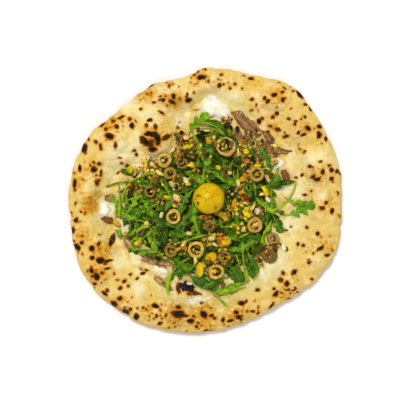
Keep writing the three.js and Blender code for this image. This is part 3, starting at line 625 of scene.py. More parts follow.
def meltPaint():
    paint = Paint("meltedCheese", {"Specular IOR Level": 0.22, "Specular Tint": (1, 0.9, 0.62, 1),
                                   "Coat Weight": 0.08, "Coat Roughness": 0.3,
                                   "Subsurface Weight": 0.15, "Subsurface Radius": (0.006, 0.0045, 0.003),
                                   "Subsurface Scale": 0.5})
    pools = paint.step(paint.noise(15, 4, 0.55), 0.42, 0.58)
    ground = paint.mix(pools, tone(228, 198, 104), tone(240, 220, 156))
    ground = paint.mix(paint.step(paint.noise(7, 3), 0.54, 0.68) * 0.5, ground, tone(218, 186, 88))
    white = paint.step(paint.noise(8, 3) + paint.mark("white") * 0.35, 0.6, 0.78)
    ground = paint.mix(white * paint.step(paint.mark("white"), 0.05, 0.3), ground, tone(242, 230, 180))
    ground = paint.mix(paint.step(paint.noise(11, 2, 0.5, paint.swung(40)), 0.58, 0.7) * 0.4,
                       ground, tone(228, 196, 146))
    juice = paint.mark("juice") + paint.stir(0.9, 4, 3)
    ground = paint.mix(paint.step(juice, 0.25, 0.6) * 0.5, ground, tone(196, 152, 84))
    ground = paint.mix(paint.step(juice, 0.55, 0.95) * 0.75, ground, tone(146, 102, 52))
    ground = paint.mix(paint.step(juice + paint.stir(0.8, 2.2, 2), 0.75, 1.1) * 0.6, ground, tone(96, 62, 28))
    meat = paint.mark("meat") + paint.stir(0.7, 4, 4, 0.6)
    torn = paint.mix(paint.step(paint.noise(1.6, 3), 0.42, 0.62), tone(128, 88, 56), tone(176, 134, 92))
    ground = paint.mix(paint.step(meat, 0.2, 0.42) * 0.6, ground, tone(204, 166, 118))
    ground = paint.mix(paint.step(meat, 0.42, 0.62) * 0.9, ground, torn)
    colour, _ = scorched(paint, ground, tone(220, 178, 70), tone(204, 146, 38))
    oil = paint.step(paint.noise(6, 3), 0.58, 0.68)
    colour = paint.mix(oil * 0.3, colour, tone(216, 176, 56))
    height = paint.noise(6, 4) * 1.4 + paint.noise(1.8, 3) * 0.45
    return paint.done(colour, 0.5 - oil * 0.22, height, 0.6, 1.1)


def billows(x, y):  # puffed lumps with creases between them
    spots = flat(x, y)
    bent = spots + 5 * np.stack([grain(spots, 18, 30), grain(spots, 18, 33), 0 * x], axis=1)
    large, small, fine = (np.abs(grain(bent, size, seed)) for size, seed in ((27, 31), (12, 32), (6, 34)))
    return 4.2 * large + 2.2 * small + 0.9 * fine - 2.2


def doughSkin(x, y, burn):  # the crust's top with all its unevenness
    r = np.hypot(x, y)
    edge, _, meltEdge, _ = section(np.arctan2(y, x))
    spots = flat(x, y)
    relief = billows(x, y) * (0.25 + 0.75 * smooth(meltEdge, meltEdge + 24, r)) * smooth(meltEdge - 14, meltEdge, r)
    relief += 0.4 * grain(spots, 4, 2) + 0.16 * grain(spots, 1.9, 3)
    relief += 1.3 * smooth(meltEdge - 8, meltEdge - 2, r) * (1 - smooth(meltEdge + 1, meltEdge + 18, r))
    relief += 0.6 * smooth(-0.6, 0, burn) - 0.8 * smooth(0.5, 0.9, burn) * (1 + grain(spots, 1.7, 4))
    for bx, by, radius, high in bubbles:  # creases round the bubbles' feet
        relief -= 0.12 * high * np.exp(-((np.hypot(x - bx, y - by) - radius) / 2.2) ** 2)
    return doughTop(x, y) + smooth(0, 5, edge - r) * relief


def meltSkin(x, y):
    edge = section(np.arctan2(y, x))[2]
    spots = flat(x, y)
    rim = smooth(0, 14, edge - np.hypot(x, y))
    relief = 0.9 * grain(spots, 14, 13) + 0.9 * np.abs(grain(spots, 8, 14)) + 0.25 * grain(spots, 3, 15) - 0.3
    relief += 1.2 * meatAt(x, y)
    return doughTop(x, y) + 0.1 + melt["thickness"] * rim + relief * (0.4 + 0.6 * rim)


def tableSkin(x, y):  # what lies bare round the toppings
    inside = np.hypot(x, y) < section(np.arctan2(y, x))[2] - 1
    return np.where(inside, meltSkin(x, y), doughSkin(x, y, np.full_like(x, -1)))


def rest(x, y):
    return np.maximum(restHeight(x, y), tableSkin(x, y) + 0.3)


def doughPiece():
    rings = [(14, "floor"), (12, "under"), (34, "side"), (46, "slope"), (14, "bed")]
    count = sum(n for n, _ in rings)
    piece = ball("doughShell", dough["segments"] // 4, count // 4, 2)
    ring, angle = steadyRings(piece, count)
    edge, crest, meltEdge, high = section(angle)
    outline = grain(onCircle(angle, 40, ring * 0.4), 3.2, 5)
    knobs = grain(onCircle(angle, 150), 8, 7)
    edge = edge - dough["inset"] - 0.25 * (1 + outline) - 2.4 * np.maximum(knobs, 0) * smooth(4, 26, ring)
    lip = edge - crest
    foot = meltEdge - melt["slope"] - 4
    starts = np.cumsum([0] + [n for n, _ in rings])
    r, z = np.zeros(len(ring)), np.zeros(len(ring))
    for (size, name), start in zip(rings, starts):
        here = (ring >= start - 0.01) & (ring <= start + size + 0.01)
        t = np.clip((ring[here] - start) / size, 0, 1)
        if name == "floor":
            r[here] = crest[here] * t
        elif name == "under":
            tilt = (t - 1) * math.pi / 2
            r[here] = crest[here] + lip[here] * np.cos(tilt)
            z[here] = dough["edgeHeight"] * (1 + np.sin(tilt))
        elif name == "side":
            tilt = t * math.pi / 2
            r[here] = crest[here] + lip[here] * np.cos(tilt)
            z[here] = dough["edgeHeight"] + (high[here] - dough["edgeHeight"]) * np.sin(tilt)
        elif name == "slope":
            r[here] = mix(crest[here], foot[here], t)
        else:
            r[here] = foot[here] * (1 - t)
    x, y = r * np.cos(angle), r * np.sin(angle)
    burn, toast = scorchAt(x, y), toastAt(x, y)
    upper = ring >= starts[2]
    sides = upper & (ring < starts[3])
    offset = doughSkin(x, y, burn) - doughTop(x, y)
    z = np.where(upper & ~sides, doughSkin(x, y, burn), z)
    z[sides] += (smooth(0, 6, edge - r) * bubbleRise(x, y) + offset)[sides]
    z = np.maximum(z, 0)
    under = ~upper & (ring > 0.01)
    z[under] += 0.35 * (1 + grain(flat(x, y)[under], 7, 6)) * smooth(0, 5, z[under] + 1)
    move(piece, np.stack([x, y, z], axis=1))
    mark(piece, "burn", np.where(upper, burn, -1))
    mark(piece, "toast", np.where(upper, np.maximum(toast, 0.08 * bubbleRise(x, y)), 0))
    white = whiteAt(x, y)
    # cream: the dough's paler colour next to the melt, also painted light over the shaded inner slope
    mark(piece, "cream", np.maximum(1 - smooth(meltEdge - 4, meltEdge + 12 + 5 * grain(flat(x, y), 12, 8), r), white))
    mark(piece, "white", white)
    # painted light and shade by height: high on raised lumps and bubbles, low in the creases
    mark(piece, "puff", np.clip(0.35 + billows(x, y) / 5 + bubbleRise(x, y) / 12, 0, 1.2))
    mark(piece, "under", 1 - smooth(starts[1] + 6, starts[2] + 4, ring + 2 * grain(flat(x, y), 8, 9)))
    return finished(piece, crustPaint(), "dough", "dough")


def meltPiece():
    rings, floor = melt["rings"], melt["floor"]
    piece = ball("meltPool", melt["segments"] // 4, rings // 4, 2)
    ring, angle = steadyRings(piece, rings)
    ragged = grain(onCircle(angle, 30), 4, 12)
    edge = section(angle)[2] - 1 + 1.6 * ragged
    r = edge * outward(ring, rings, floor)
    x, y = r * np.cos(angle), r * np.sin(angle)
    z = np.where(ring > floor + 0.4, meltSkin(x, y), doughTop(x, y) - 0.4)
    move(piece, np.stack([x, y, z], axis=1))
    mark(piece, "burn", scorchAt(x, y) - 0.1)
    mark(piece, "toast", toastAt(x, y) * 0.8)
    mark(piece, "white", whiteAt(x, y))
    mark(piece, "juice", juiceAt(x, y))
    mark(piece, "meat", meatAt(x, y))
    return finished(piece, meltPaint(), "melt", "cheese_melt")


doughPiece()
meltPiece()
print("dough and melt made")


# mounds: cheese and slices of meat, spread on the table

stains = [  # amber on the cheese: x, y, radius
    (9, 87, 5), (21, 87, 4), (76, 41, 4.5), (88, 42, 4), (-46, -86, 5), (-27, 83, 2.2), (63, -72, 4),
    (-100, -4, 3), (-18, -106, 3), (-3, 84, 3),
]
pureWhite = ["cheese_top", "cheese_left"]  # the others have melted into the base a little
roasts = {  # how roasted, where it is more than the rest
    "meat_right": 0.65, "meat_far_left": 0.75, "meat_upper_strip": 0.45, "meat_low": 0.4,
    "meat_upper_right": 0.3, "meat_bottom": 0.35,
}
burntRim = (-92, -98)  # y from which the flake's edge turns brown
mound = {
    "rings": 30, "cheeseSides": 72, "meatSides": 80,
    "cheese": (0.09, 0.13, 2.2), "meat": (0.06, 0.12, 4), "burnt": (0.06, 0.22, 4),  # wobble, raggedness, crispness
}


def moundShape(piece, spec, wobble, ragged, crisp, seed):
    x0, y0, long, wide, tilt, high = spec
    rings = mound["rings"]
    ring, angle = ringsOf(piece, rings)
    chance = draws(20 + math.floor(abs(7 * x0 + 13 * y0) + 0.5))  # the solid's own waves
    phases = [turn * next(chance) for _ in range(3)]
    waves = sum(np.sin(n * angle + phase) for n, phase in zip((2, 3, 5), phases))
    edge = onCircle(angle, 9)
    fine = grain(edge, 2.2, seed) + 0.6 * grain(edge, 0.9, seed + 1)
    out = 1.04 * (1 + wobble * waves) * (1 + ragged * (fine - 0.7))
    floor = rings / 3
    t = outward(ring, rings, floor)
    u, v = long / 2 * out * t * np.cos(angle), wide / 2 * out * t * np.sin(angle)
    c, s = math.cos(math.radians(tilt)), math.sin(math.radians(tilt))
    x, y = x0 + u * c - v * s, y0 + u * s + v * c
    rise = high * (1 - np.clip(t, 0, 1) ** crisp) ** 0.75
    rise = rise * (1 + 0.14 * np.sin(x / 2.3 + y / 3.1))
    z = np.where(ring < floor - 0.01, tableSkin(x, y) - 1.6, tableSkin(x, y) - 0.5 + rise)
    return x, y, z, u, v, t, ring >= floor


def cheesePaint():
    paint = Paint("freshCheese", {"Specular IOR Level": 0.3, "Coat Weight": 0.1, "Coat Roughness": 0.3,
                                  "Subsurface Weight": 0.4, "Subsurface Radius": (0.006, 0.0055, 0.0045),
                                  "Subsurface Scale": 0.5})
    milk = paint.mix(paint.step(paint.noise(7, 4), 0.42, 0.62), tone(240, 236, 212), tone(253, 252, 242))
    mixed = paint.mark("mixed")
    milk = paint.mix(mixed * paint.step(paint.noise(6, 4), 0.36, 0.6), milk, tone(240, 222, 168))
    milk = paint.mix(mixed * paint.step(paint.noise(2.6, 3), 0.6, 0.7) * 0.7, milk, tone(160, 118, 66))
    stain = paint.step(paint.mark("stain") + paint.stir(0.7, 3, 3), 0.15, 0.6)
    colour = paint.mix(stain * 0.9, milk, tone(206, 140, 34))
    colour = paint.mix(paint.step(paint.mark("stain") + paint.stir(0.6, 1.7, 2), 0.75, 1.05), colour,
                       tone(112, 58, 14))
    edge = paint.step(paint.mark("rim") + paint.stir(0.7, 4, 3), 0.4, 0.9)
    colour = paint.mix(edge * (mixed * 0.55 + 0.3), colour, tone(238, 216, 150))
    height = paint.noise(3.2, 4, 0.55) + paint.noise(0.9, 2) * 0.25
    return paint.done(colour, 0.42 + paint.noise(4) * 0.15, height, 0.35, 0.8)


def meatPaint():
    paint = Paint("cookedMeat", {"Specular IOR Level": 0.3, "Specular Tint": (1, 0.85, 0.6, 1),
                                 "Subsurface Weight": 0.08, "Subsurface Radius": (0.006, 0.002, 0.001),
                                 "Subsurface Scale": 0.4})
    grainPlace = paint.node("CombineXYZ", {}, {"X": paint.mark("along") * 0.16, "Y": paint.mark("across")})
    strands = paint.noise(1.7, 4, 0.6, grainPlace)
    bands = paint.noise(5, 3, 0.5, grainPlace)
    tender = paint.mix(paint.step(bands, 0.4, 0.6), tone(126, 86, 44), tone(164, 122, 74))
    tender = paint.mix(paint.step(strands, 0.52, 0.68) * 0.7, tender, tone(196, 156, 108))
    tender = paint.mix(paint.step(strands * -1, -0.44, -0.32) * 0.5, tender, tone(90, 54, 30))
    tender = paint.mix(paint.step(paint.noise(5, 4, 0.65), 0.54, 0.66) * 0.7, tender, tone(112, 74, 54))
    veil = paint.step(paint.noise(7, 4) + paint.mark("mixed") * 0.16, 0.58, 0.7)
    tender = paint.mix(veil * 0.7, tender, tone(216, 186, 128))
    tender = paint.mix(paint.step(paint.noise(1.7, 3), 0.6, 0.68) * 0.7, tender, tone(76, 46, 26))
    roast = paint.step(paint.mark("roast") + paint.stir(0.9, 4, 3), 0.35, 0.85)
    colour = paint.mix(roast, tender, tone(120, 70, 24))
    colour = paint.mix(paint.step(paint.mark("roast") + paint.stir(0.8, 2.4, 3), 0.9, 1.2), colour,
                       tone(46, 26, 14))
    height = strands + paint.noise(2.5, 3) * 0.8
    return paint.done(colour, 0.46 + strands * 0.15, height, 0.8, 1.1)


def burntPaint():
    paint = Paint("burntFlake", {"Specular IOR Level": 0.3, "Coat Weight": 0.1, "Coat Roughness": 0.15})
    crust = paint.step(paint.mark("rim") + paint.stir(0.9, 3, 3), 0.3, 0.7)
    coal = paint.mix(paint.step(paint.noise(2.5, 4), 0.55, 0.75), tone(8, 6, 6), tone(66, 34, 10))
    toasty = paint.mix(paint.step(paint.noise(2.5, 3), 0.4, 0.65), tone(110, 56, 10), tone(196, 132, 40))
    colour = paint.mix(crust, coal, toasty)
    height = paint.noise(2, 5, 0.65) + paint.pits(1.6) * 0.4
    return paint.done(colour, 0.3 + paint.noise(2) * 0.4, height, 0.8, 1.2)


def moundPieces():
    milk, meat, coal = cheesePaint(), meatPaint(), burntPaint()
    for i, (name, spec) in enumerate(dollops.items()):
        piece = ball(name + "_look", mound["cheeseSides"], mound["rings"])
        x, y, z, _, _, t, upper = moundShape(piece, spec, *mound["cheese"], 40 + i)
        spots = flat(x, y)
        z += upper * (1 - t ** 3) * (0.12 * spec[5] * grain(spots, 5, 50 + i) + 0.25 * grain(spots, 2, 60 + i))
        move(piece, np.stack([x, y, z], axis=1))
        stain = np.zeros_like(x)
        for sx, sy, radius in stains:
            stain = np.maximum(stain, 1.15 - np.hypot(x - sx, y - sy) / radius)
        mark(piece, "stain", stain)
        mark(piece, "rim", smooth(0.5, 1, t))
        mark(piece, "mixed", np.full(len(x), 0.0 if name in pureWhite else 1.0))
        finished(piece, milk, "cheese", name)
    for i, (name, spec) in enumerate(slices.items()):
        burnt = name == "burnt_flake"
        kind = "burnt" if burnt else "meat"
        piece = ball(name + "_look", mound["meatSides"], mound["rings"])
        x, y, z, u, v, t, upper = moundShape(piece, spec, *mound[kind], 70 + i)
        strands = np.stack([u / 7, v, 0 * u], axis=1)
        spots = flat(x, y)
        rough = 0.6 * grain(strands, 1.5, 80 + i) + 0.7 * grain(spots, 4, 90 + i) + 0.3 * grain(spots, 1.8, 95)
        if burnt:
            rough = 1.4 * np.abs(grain(spots, 4.5, 90)) + 0.8 * grain(spots, 1.6, 91) - 1.6 * (1 - t) ** 2
        z += upper * (1 - t ** 4) * rough
        move(piece, np.stack([x, y, z], axis=1))
        if burnt:
            low = smooth(*burntRim, y)
            mark(piece, "rim", smooth(0.5, 1, t + 0.3 * grain(spots, 5, 92)) * low)
        else:
            mark(piece, "along", u * mm)
            mark(piece, "across", v * mm)
            mark(piece, "roast", roasts.get(name, 0.15) + 0.5 * smooth(0.7, 1, t))
            mark(piece, "mixed", np.full(len(x), float(spec[1] < 0)))  # the lower ones lie half under cheese
        finished(piece, coal if burnt else meat, kind, name)


moundPieces()
print("cheese and meat made")


# olive rings

olives = [  # x, y, radius, hole, lean, towards, how drab
    (-43.5, 42, 8.8, 3.5, 0, 0, 0.25), (-37, 28, 7.4, 3.2, 18, 240, 0.6), (-24, 38, 7.2, 3.4, 15, 90, 0.9),
    (23, 56, 11.4, 7.2, 16, 100, 0.35), (56, 27, 8.8, 4.2, 0, 0, 0.45), (-33.5, -19, 8.5, 4.4, 0, 0, 0.1),
    (-9, -54.5, 9.6, 4.8, 0, 0, 0.15), (12.5, -78.5, 9, 4.6, 6, 250, 0.1), (21, -62, 7.4, 3.4, 20, 30, 0.7),
    (70.5, -61, 8.8, 2.4, 0, 0, 1), (74, -43, 7.2, 2.8, 12, 0, 0.6), (54, -28, 9, 4.2, 0, 0, 0.35),
    (-58, 8, 7, 3.4, 15, 180, 0.8), (-36, -56, 7.4, 3.4, 16, 200, 0.75),
]
oliveRing = {"thick": 4.6, "segments": 64, "sides": 24}


def olivePaint():
    paint = Paint("oliveFlesh", {"Specular IOR Level": 0.3, "Specular Tint": (1, 0.86, 0.45, 1), "Coat Weight": 0.12,
                                 "Coat Roughness": 0.2, "Subsurface Weight": 0.1,
                                 "Subsurface Radius": (0.004, 0.003, 0.001), "Subsurface Scale": 0.5})
    out, drab = paint.mark("out"), paint.mark("drab")
    speck = paint.noise(1.6, 3)
    flesh = paint.mix(paint.step(paint.noise(3.2, 3), 0.4, 0.62), tone(206, 164, 56), tone(228, 196, 98))
    flesh = paint.mix(drab, flesh, paint.mix(speck, tone(82, 62, 10), tone(126, 100, 28)))
    skin = paint.mix(drab, tone(170, 124, 22), tone(88, 68, 14))
    colour = paint.mix(paint.step(out + (speck - 0.5) * 0.5, 0.72, 0.98), flesh, skin)
    colour = paint.mix(paint.step(out * -1 + (speck - 0.5) * 0.6, -0.28, 0.04) * 0.85, colour, tone(122, 82, 16))
    colour = paint.mix(paint.step(paint.noise(1.4, 2), 0.6, 0.72) * 0.6, colour, tone(138, 94, 20))
    height = paint.noise(1.3, 3) + paint.pits(1.1) * 0.3
    return paint.done(colour, 0.36 + speck * 0.2, height, 0.55, 0.6)


def olivePieces():
    flesh = olivePaint()
    half = oliveRing["thick"] / 2
    for i, (x0, y0, radius, hole, lean, towards, drab) in enumerate(olives):
        deselect()
        bpy.ops.mesh.primitive_torus_add(major_radius=1, minor_radius=0.25, major_segments=oliveRing["segments"],
                                         minor_segments=oliveRing["sides"])
        piece = named(f"olive_{i + 1:02d}_look")
        points = pointsOf(piece)
        angle = np.arctan2(points[:, 1], points[:, 0])
        side = np.arctan2(points[:, 2], np.hypot(points[:, 0], points[:, 1]) - 1)
        lobe = 0.98 + 0.04 * np.sin(2 * angle + i) + 0.025 * np.sin(3 * angle + 2 * i)
        off = 1 + 0.12 * np.sin(angle + 1.9 * i)
        inner, outer = hole * off * (1 + 0.09 * np.sin(3 * angle + i)), (radius - 0.15) * lobe
        c, s = np.cos(side), np.sin(side)
        r = (inner + outer) / 2 + (outer - inner) / 2 * np.sign(c) * np.abs(c) ** 0.55
        z = half * np.sign(s) * np.abs(s) ** 0.42
        shape = np.stack([r * np.cos(angle), r * np.sin(angle), z], axis=1)
        for by, size, seed in ((0.4, 2.8, 100), (0.18, 1.2, 110)):
            shape += by * np.stack([grain(shape + k, size, seed + i + k) for k in (0, 40, 80)], axis=1)
        lean, towards = math.radians(lean), math.radians(towards)
        leaning = Matrix.Rotation(lean, 3, Vector((-math.sin(towards), math.cos(towards), 0)))
        raised = half * math.cos(lean) + 0.5 * radius * math.sin(lean) - 1
        shape = shape @ np.array(leaning).T + (x0, y0, spotOn(rest, x0, y0) + raised)
        move(piece, shape)
        mark(piece, "out", (r - inner) / (outer - inner))
        mark(piece, "drab", np.full(len(r), drab))
        finished(piece, flesh, "olive", f"olive_{i + 1:02d}", degrees=70)


olivePieces()
print("olives made")


# whole tomato and its cut pieces

tomato = {
    "x": 4.5, "y": 0.5, "radius": 17, "squash": 0.92, "sunk": 5, "segments": 96, "rings": 64,
    "block": 14, "clear": 18, "bare": 13,  # how far leaves, crumbs and pepper keep from its middle
    "bed": 12, "bedTop": 46,
}
wedges = {  # x, y, length, width, turn, height, bite, how roasted
    "wedge_under": (1, -19.5, 17, 7, 2, 7, 0, 0.8), "wedge_near": (18, -19, 17, 11, -35, 8, 5, 0.35),
    "wedge_right": (65, 7, 16, 9, -68, 6, 4, 0.1), "wedge_middle": (7, -63, 14, 12, 30, 8, 0, 0.3),
    "wedge_low": (-5, -76, 17, 9, 88, 7, 0, 0.2), "wedge_nutty": (22, -46, 15, 13, 20, 7, 0, 0.45),
    "wedge_strip": (32, -6, 15, 7, 80, 6, 0, 0.6), "wedge_left": (-95, -27, 11, 6, -35, 5, 0, 0.35),
}


def tomatoPaint():
    paint = Paint("yellowTomato", {"Specular IOR Level": 0.4, "Specular Tint": (1, 0.85, 0.12, 1), "Coat Weight": 0.14,
                                   "Coat Roughness": 0.22, "Subsurface Weight": 0.15,
                                   "Subsurface Radius": (0.008, 0.005, 0.001), "Subsurface Scale": 0.4})
    roast = paint.mark("roast")
    skin = paint.mix(paint.step(paint.noise(12, 2), 0.4, 0.65), tone(212, 170, 0), tone(230, 194, 2))
    skin = paint.mix(paint.step(paint.noise(1.5, 3), 0.56, 0.72) * 0.4, skin, tone(178, 128, 0))
    golden = paint.mix(paint.step(paint.noise(4, 3), 0.35, 0.65), tone(150, 94, 6), tone(212, 158, 20))
    # on the whole tomato this mark is painted shade towards the bottom as well as roasting; on the cut pieces it is
    # roasting only
    colour = paint.mix(paint.step(roast + paint.stir(0.8, 5, 3), 0.15, 0.55), skin, golden)
    colour = paint.mix(paint.step(roast + paint.stir(1.1, 3, 4), 0.6, 1.0), colour, tone(84, 46, 8))
    colour = paint.mix(paint.step(paint.mark("fleck") + paint.stir(0.4, 1.1, 2), 0.3, 0.6), colour,
                       tone(88, 46, 4))
    height = paint.noise(2.2, 3) * 0.8 + paint.step(roast, 0.1, 0.5) * paint.noise(1.8, 3) * 1.5
    return paint.done(colour, 0.26 + paint.step(roast, 0.1, 0.7) * 0.18 + paint.noise(3) * 0.06, height, 0.45, 0.6)


tomatoFlecks = [  # x, y, radius
    (-7.5, 3.5, 1.4), (-5, 3, 1.1), (-7, -4, 1.5), (-7, -6, 1.1), (-9.5, 0, 0.9), (12, -9, 1), (14, 4, 0.8),
    (-1, 11, 0.8), (-4, 10, 0.7), (1, -1.5, 0.8), (4, 0, 0.7), (7, 1.5, 0.8), (9, 3, 0.7), (10, 6, 0.7), (2, 8, 0.7),
]


def tomatoPieces():
    skin = tomatoPaint()
    piece = ball("cherryTomato", tomato["segments"], tomato["rings"])
    points = pointsOf(piece)
    angle, tilt = np.arctan2(points[:, 1], points[:, 0]), np.arcsin(np.clip(points[:, 2], -1, 1))
    lobes = 1 - 0.012 * (1 + np.cos(5 * angle + 0.6)) * np.cos(tilt)
    lobes *= 1.012 - 0.016 * (1 + grain(points * 17, 11, 120)) - 0.006 * (1 + grain(points * 17, 4, 122))
    pressed = np.maximum(points @ np.array([0.5, -0.62, 0.6]) - 0.93, 0)  # a flat side
    shape = points * (tomato["radius"] - 0.1) * (lobes - 0.75 * pressed)[:, None]
    shape *= (1.03, 1, tomato["squash"])
    x0, y0 = tomato["x"], tomato["y"]
    top = spotOn(heapTop, x0, y0) + tomato["radius"] * tomato["squash"] - tomato["sunk"]
    move(piece, shape + (x0, y0, top))
    fleck = np.zeros(len(points))
    for fx, fy, radius in tomatoFlecks:
        far = np.hypot(shape[:, 0] + x0 - fx, shape[:, 1] + y0 - fy) / radius
        fleck = np.maximum(fleck, (1 - 0.6 * far) * (shape[:, 2] > 0))
    away = np.hypot(shape[:, 0] - 6.5, shape[:, 1] + 8)
    # painted shade, darker towards the bottom, plus random roasting and a brown stain to the lower right
    mark(piece, "roast", smooth(0.2, -0.9, points[:, 2]) * 0.5 + 0.1 * grain(points * 17, 8, 121)
         + 0.24 * (1 - smooth(2, 10, away)) * (points[:, 2] > 0))
    mark(piece, "fleck", fleck)
    finished(piece, skin, "tomato", "tomato_whole")
    for i, (name, (x0, y0, long, wide, tilt, high, bite, roast)) in enumerate(wedges.items()):
        piece = ball(name + "_look", 60, 40)
        points = pointsOf(piece)
        wrinkled = 0.03 + 0.06 * roast
        plump = 1.02 - wrinkled * (1 + grain(points * 8, 4.5, 130 + i)) - 0.03 * (1 + grain(points * 8, 2, 140 + i))
        shape = points * (long / 2, wide / 2, high / 2) * plump[:, None]
        if bite:
            u = shape[:, 0] / (long / 2)
            hollow = bite - wide + wide / 2 * np.sqrt(np.clip(1 - u * u, 0, 1))
            shape[:, 1] = np.where(shape[:, 1] < hollow, hollow + 0.12 * (shape[:, 1] - hollow), shape[:, 1])
        else:
            shape[:, 2] -= 0.1 * high * (1 + np.cos(shape[:, 1] / wide * 9)) * (points[:, 2] > 0) * points[:, 2]
        laid = np.stack([*rotated(shape[:, 0], shape[:, 1], tilt), shape[:, 2]], axis=1)
        move(piece, laid + (x0, y0, spotOn(rest, x0, y0) + 0.3 * high))
        mark(piece, "roast", roast + 0.25 * grain(points * 9, 6, 150 + i))
        mark(piece, "fleck", 0.5 * roast * grain(points * 9, 1.6, 160 + i))
        finished(piece, skin, "tomato", name)


tomatoPieces()
print("tomatoes made")


# the heap: a core, leaves laid one on another, then nuts and crumbs on what lies highest

class Pile:  # how high things are stacked, on a grid of small cells
    def __init__(self, cell=1.5, half=150):
        self.cell, self.half = cell, half
        side = int(2 * half / cell) + 1
        line = np.arange(side) * cell - half
        self.x, self.y = (a.ravel() for a in np.meshgrid(line, line, indexing="ij"))
        self.side = side
        table = tableSkin(self.x, self.y)
        self.top = np.maximum(table, coreTop(self.x, self.y))
        for x0, y0, long, wide, tilt, high in [*dollops.values(), *slices.values()]:
            away = ovalAway(self.x, self.y, x0, y0, long, wide, tilt)
            over = table - 0.5 + high * (1 - np.clip(away, 0, 1) ** 3) ** 0.6
            self.top = np.where(away < 1, np.maximum(self.top, over), self.top)

    def cells(self, x, y):
        i = np.clip(np.rint((x + self.half) / self.cell).astype(int), 0, self.side - 1)
        j = np.clip(np.rint((y + self.half) / self.cell).astype(int), 0, self.side - 1)
        return i * self.side + j

    def height(self, x, y):
        return self.top[self.cells(x, y)]

    def add(self, x, y, z):
        np.maximum.at(self.top, self.cells(x, y), z)

    def disc(self, x0, y0, radius, z):
        self.top[np.hypot(self.x - x0, self.y - y0) < radius] = z


def coreTop(x, y):  # the heap's inside, a little under the leaves
    spots = flat(x, y)
    lumps = 0.9 * grain(spots, 6, 170) + 0.5 * grain(spots, 2.6, 171)
    return heapTop(x, y) - 3.4 + lumps + crumbsAt(x, y) * (2 + 0.9 * np.abs(grain(spots, 3.2, 174)))


def heapReach(angle):
    return float(around(heap["reach"], np.array(angle)))


def onHeap(chance, spread):  # somewhere on it
    angle = turn * chance.random()
    r = spread * heapReach(angle) * math.sqrt(chance.random())
    return r * math.cos(angle), r * math.sin(angle)


def corePaint():
    paint = Paint("heapShadeAndCrumbs", {"Specular IOR Level": 0.15, "Specular Tint": (1, 0.9, 0.4, 1)})
    # painted shade: the near-black and dark greens stand for the shadowed depths between the leaves; the brown bits
    # mixed in are real
    shadeAndBits = paint.mix(paint.step(paint.noise(4, 3), 0.42, 0.6), tone(16, 26, 0), tone(52, 66, 4))
    shadeAndBits = paint.mix(paint.step(paint.noise(5.5, 3), 0.56, 0.64) * 0.8, shadeAndBits, tone(84, 58, 12))
    cell = paint.node("TexVoronoi", {}, {"Vector": paint.place, "Scale": 1000 / 2.3}, "Color")
    kinds = [(0.0, tone(44, 26, 8)), (0.32, tone(98, 62, 18)), (0.44, tone(152, 108, 36)), (0.54, tone(196, 150, 50)),
             (0.64, tone(232, 204, 96)), (0.76, tone(126, 86, 58)), (0.9, tone(236, 214, 60))]
    crumbs = paint.ramp(cell.math("SUBTRACT", paint.mark("brown") * 0.16 - 0.06), kinds)
    share = paint.step(paint.mark("crumb") + paint.stir(0.9, 3, 3), 0.25, 0.5)
    colour = paint.mix(share, shadeAndBits, crumbs)
    height = paint.noise(2, 4) * (1 - share) + paint.pits(2.3) * share * -1.4
    return paint.done(colour, 0.6, height, 0.9, 1.3)


def corePiece():
    rings, floor = heap["rings"], heap["floor"]
    piece = ball("heapCore", heap["segments"] // 2, rings // 2, 1)
    ring, angle = steadyRings(piece, rings)
    ragged = grain(onCircle(angle, 24), 5, 173)
    reach = around(heap["reach"], angle) * (0.955 + 0.03 * ragged)
    r = reach * outward(ring, rings, floor)
    x, y = r * np.cos(angle), r * np.sin(angle)
    z = np.where(ring > floor + 0.4, np.maximum(coreTop(x, y), tableTop(x, y) - 0.5), tableTop(x, y) - 1.2)
    z = np.where(ring > floor + 0.4, mix(z, tableSkin(x, y) - 0.3, smooth(0.93, 1, r / reach)), z)
    move(piece, np.stack([x, y, z], axis=1))
    share, brown = crumbShare(x, y)
    mark(piece, "crumb", share)
    mark(piece, "brown", brown)
    return finished(piece, corePaint(), "greens", "greens_heap")


